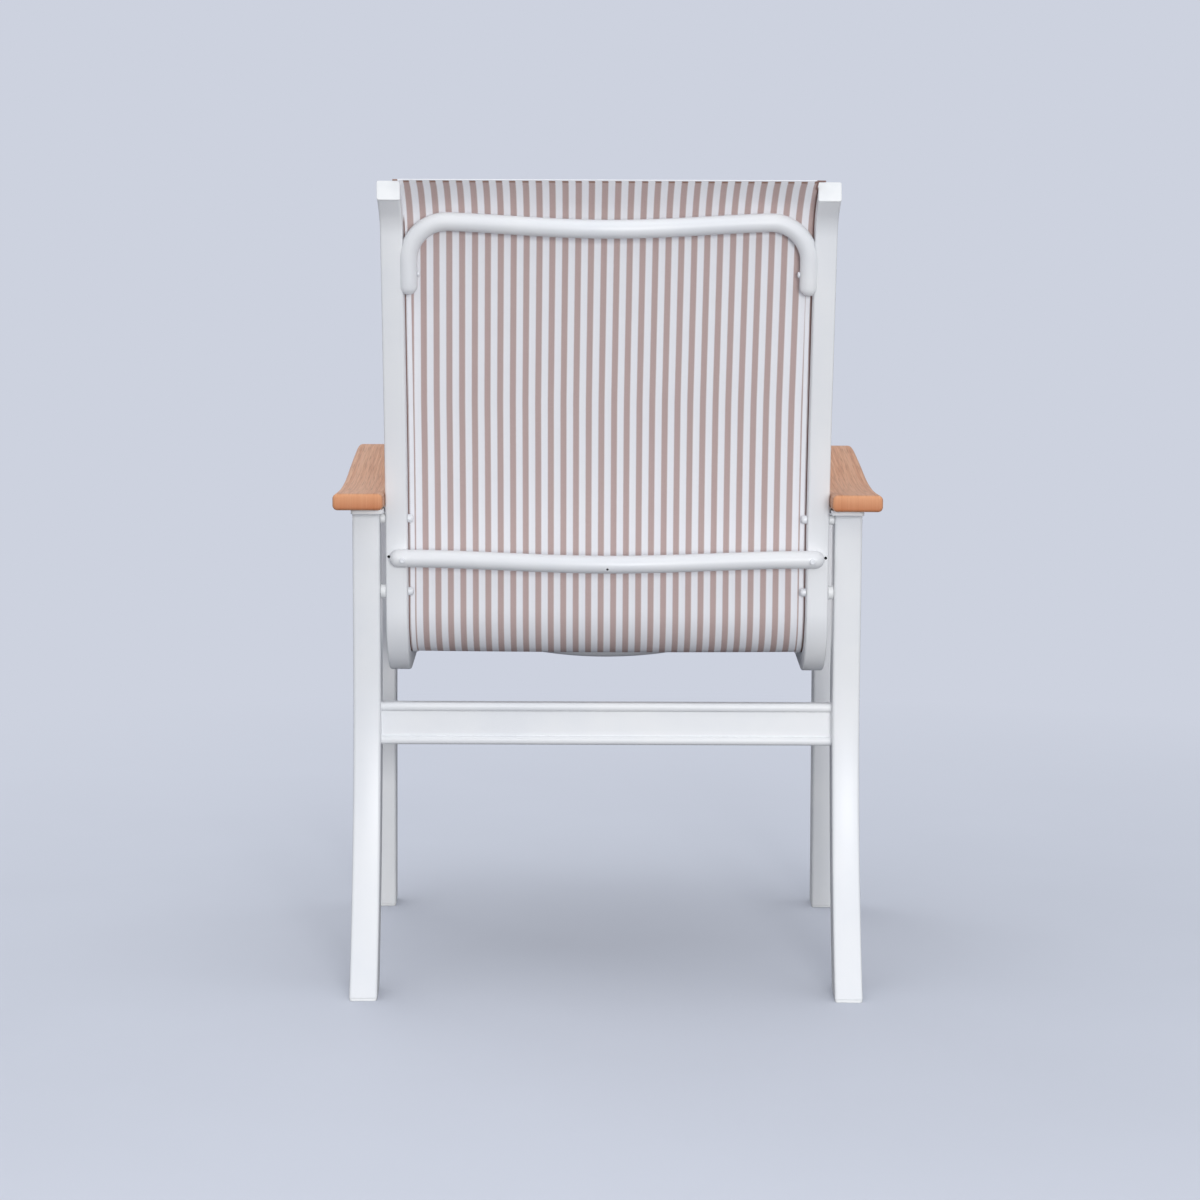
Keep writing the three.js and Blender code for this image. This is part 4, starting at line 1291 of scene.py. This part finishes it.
studio = {
    "backdrop": rgb(205, 210, 223),
    "floorSeen": rgb(214, 218, 228),
    "floorLit": rgb(96, 98, 106),  # what the floor throws back at the chair
    "fade": (0.8, 2.3),  # distances between which the floor passes into the backdrop
    "sky": rgb(227, 230, 236),
    "skyStrength": 0.9,
    "lamps": {
        "overhead": ((0.3, 0.9, 3.3), (0, 0, 0.4), 2.2, 6),
        "behind": ((-0.5, 4.0, 0.9), (0, 0, 0.45), 0.9, 68),
        "front": ((1.6, -2.8, 2.6), (0, 0, 0.4), 2.2, 16),
    },
    "camera": (0.0199, 3.2869, 0.760),
    "pitch": math.radians(3.17),
    "roll": math.radians(-0.2),
    "lens": 80.1,
    "shift": (0.0077, -0.1001),
}


def makeFloor():
    clearSelection()
    bpy.ops.mesh.primitive_plane_add(size=60, location=(0, 0, 0))
    floor = bpy.context.object
    floor.name = "floor"
    pale = Finish("pale floor", Roughness=0.8, Specular_IOR_Level=0.1)
    place = pale.place()
    seen = pale.node("ShaderNodeLightPath", out="Is Camera Ray")
    mottle = pale.between(pale.noise(place, 2, 4), 0.3, 0.7, 0.97, 1.0)
    tone = pale.mix(seen, studio["floorLit"], studio["floorSeen"])
    pale.feed(Base_Color=pale.mix(mottle, (0, 0, 0), tone))
    glow = pale.node("ShaderNodeEmission", None, {"Color": colour(studio["backdrop"])})
    distance = pale.node("ShaderNodeVectorMath", {"operation": "LENGTH"}, {0: place}, out="Value")
    far = pale.between(distance, *studio["fade"]) * seen
    surface = Wire(pale, pale.shader.outputs["BSDF"])
    mixed = pale.node("ShaderNodeMixShader", None, {0: far, 1: surface, 2: glow})
    pale.tree.links.new(mixed.socket, pale.tree.nodes["Material Output"].inputs["Surface"])
    floor.data.materials.append(pale.material)


def makeWorld():
    # the backdrop as the camera sees it, and the light that falls on the chair
    world = bpy.data.worlds.new("studio")
    bpy.context.scene.world = world
    world.use_nodes = True
    nodes, links = world.node_tree.nodes, world.node_tree.links
    light = nodes["Background"]
    light.inputs["Color"].default_value = (*studio["sky"], 1)
    light.inputs["Strength"].default_value = studio["skyStrength"]
    backdrop = nodes.new("ShaderNodeBackground")
    backdrop.inputs["Color"].default_value = (*studio["backdrop"], 1)
    path, either = nodes.new("ShaderNodeLightPath"), nodes.new("ShaderNodeMixShader")
    links.new(path.outputs["Is Camera Ray"], either.inputs[0])
    links.new(light.outputs[0], either.inputs[1])
    links.new(backdrop.outputs[0], either.inputs[2])
    links.new(either.outputs[0], nodes["World Output"].inputs["Surface"])


def makeLampsAndCamera():
    for name, (place, target, size, power) in studio["lamps"].items():
        clearSelection()
        bpy.ops.object.light_add(type="AREA", location=place)
        lamp = bpy.context.object
        lamp.name = name
        lamp.data.shape, lamp.data.size, lamp.data.energy = "SQUARE", size, power
        lamp.rotation_euler = (Vector(target) - Vector(place)).to_track_quat("-Z", "Y").to_euler()
    clearSelection()
    turn = (math.pi / 2 - studio["pitch"], studio["roll"], math.pi)
    bpy.ops.object.camera_add(location=studio["camera"], rotation=turn)
    camera = bpy.context.object
    camera.data.lens, camera.data.sensor_width = studio["lens"], 36
    camera.data.shift_x, camera.data.shift_y = studio["shift"]
    bpy.context.scene.camera = camera
    bpy.context.scene.view_settings.view_transform = "Standard"


makeFloor()
makeWorld()
makeLampsAndCamera()
print("studio lit")

bpy.context.view_layer.update()
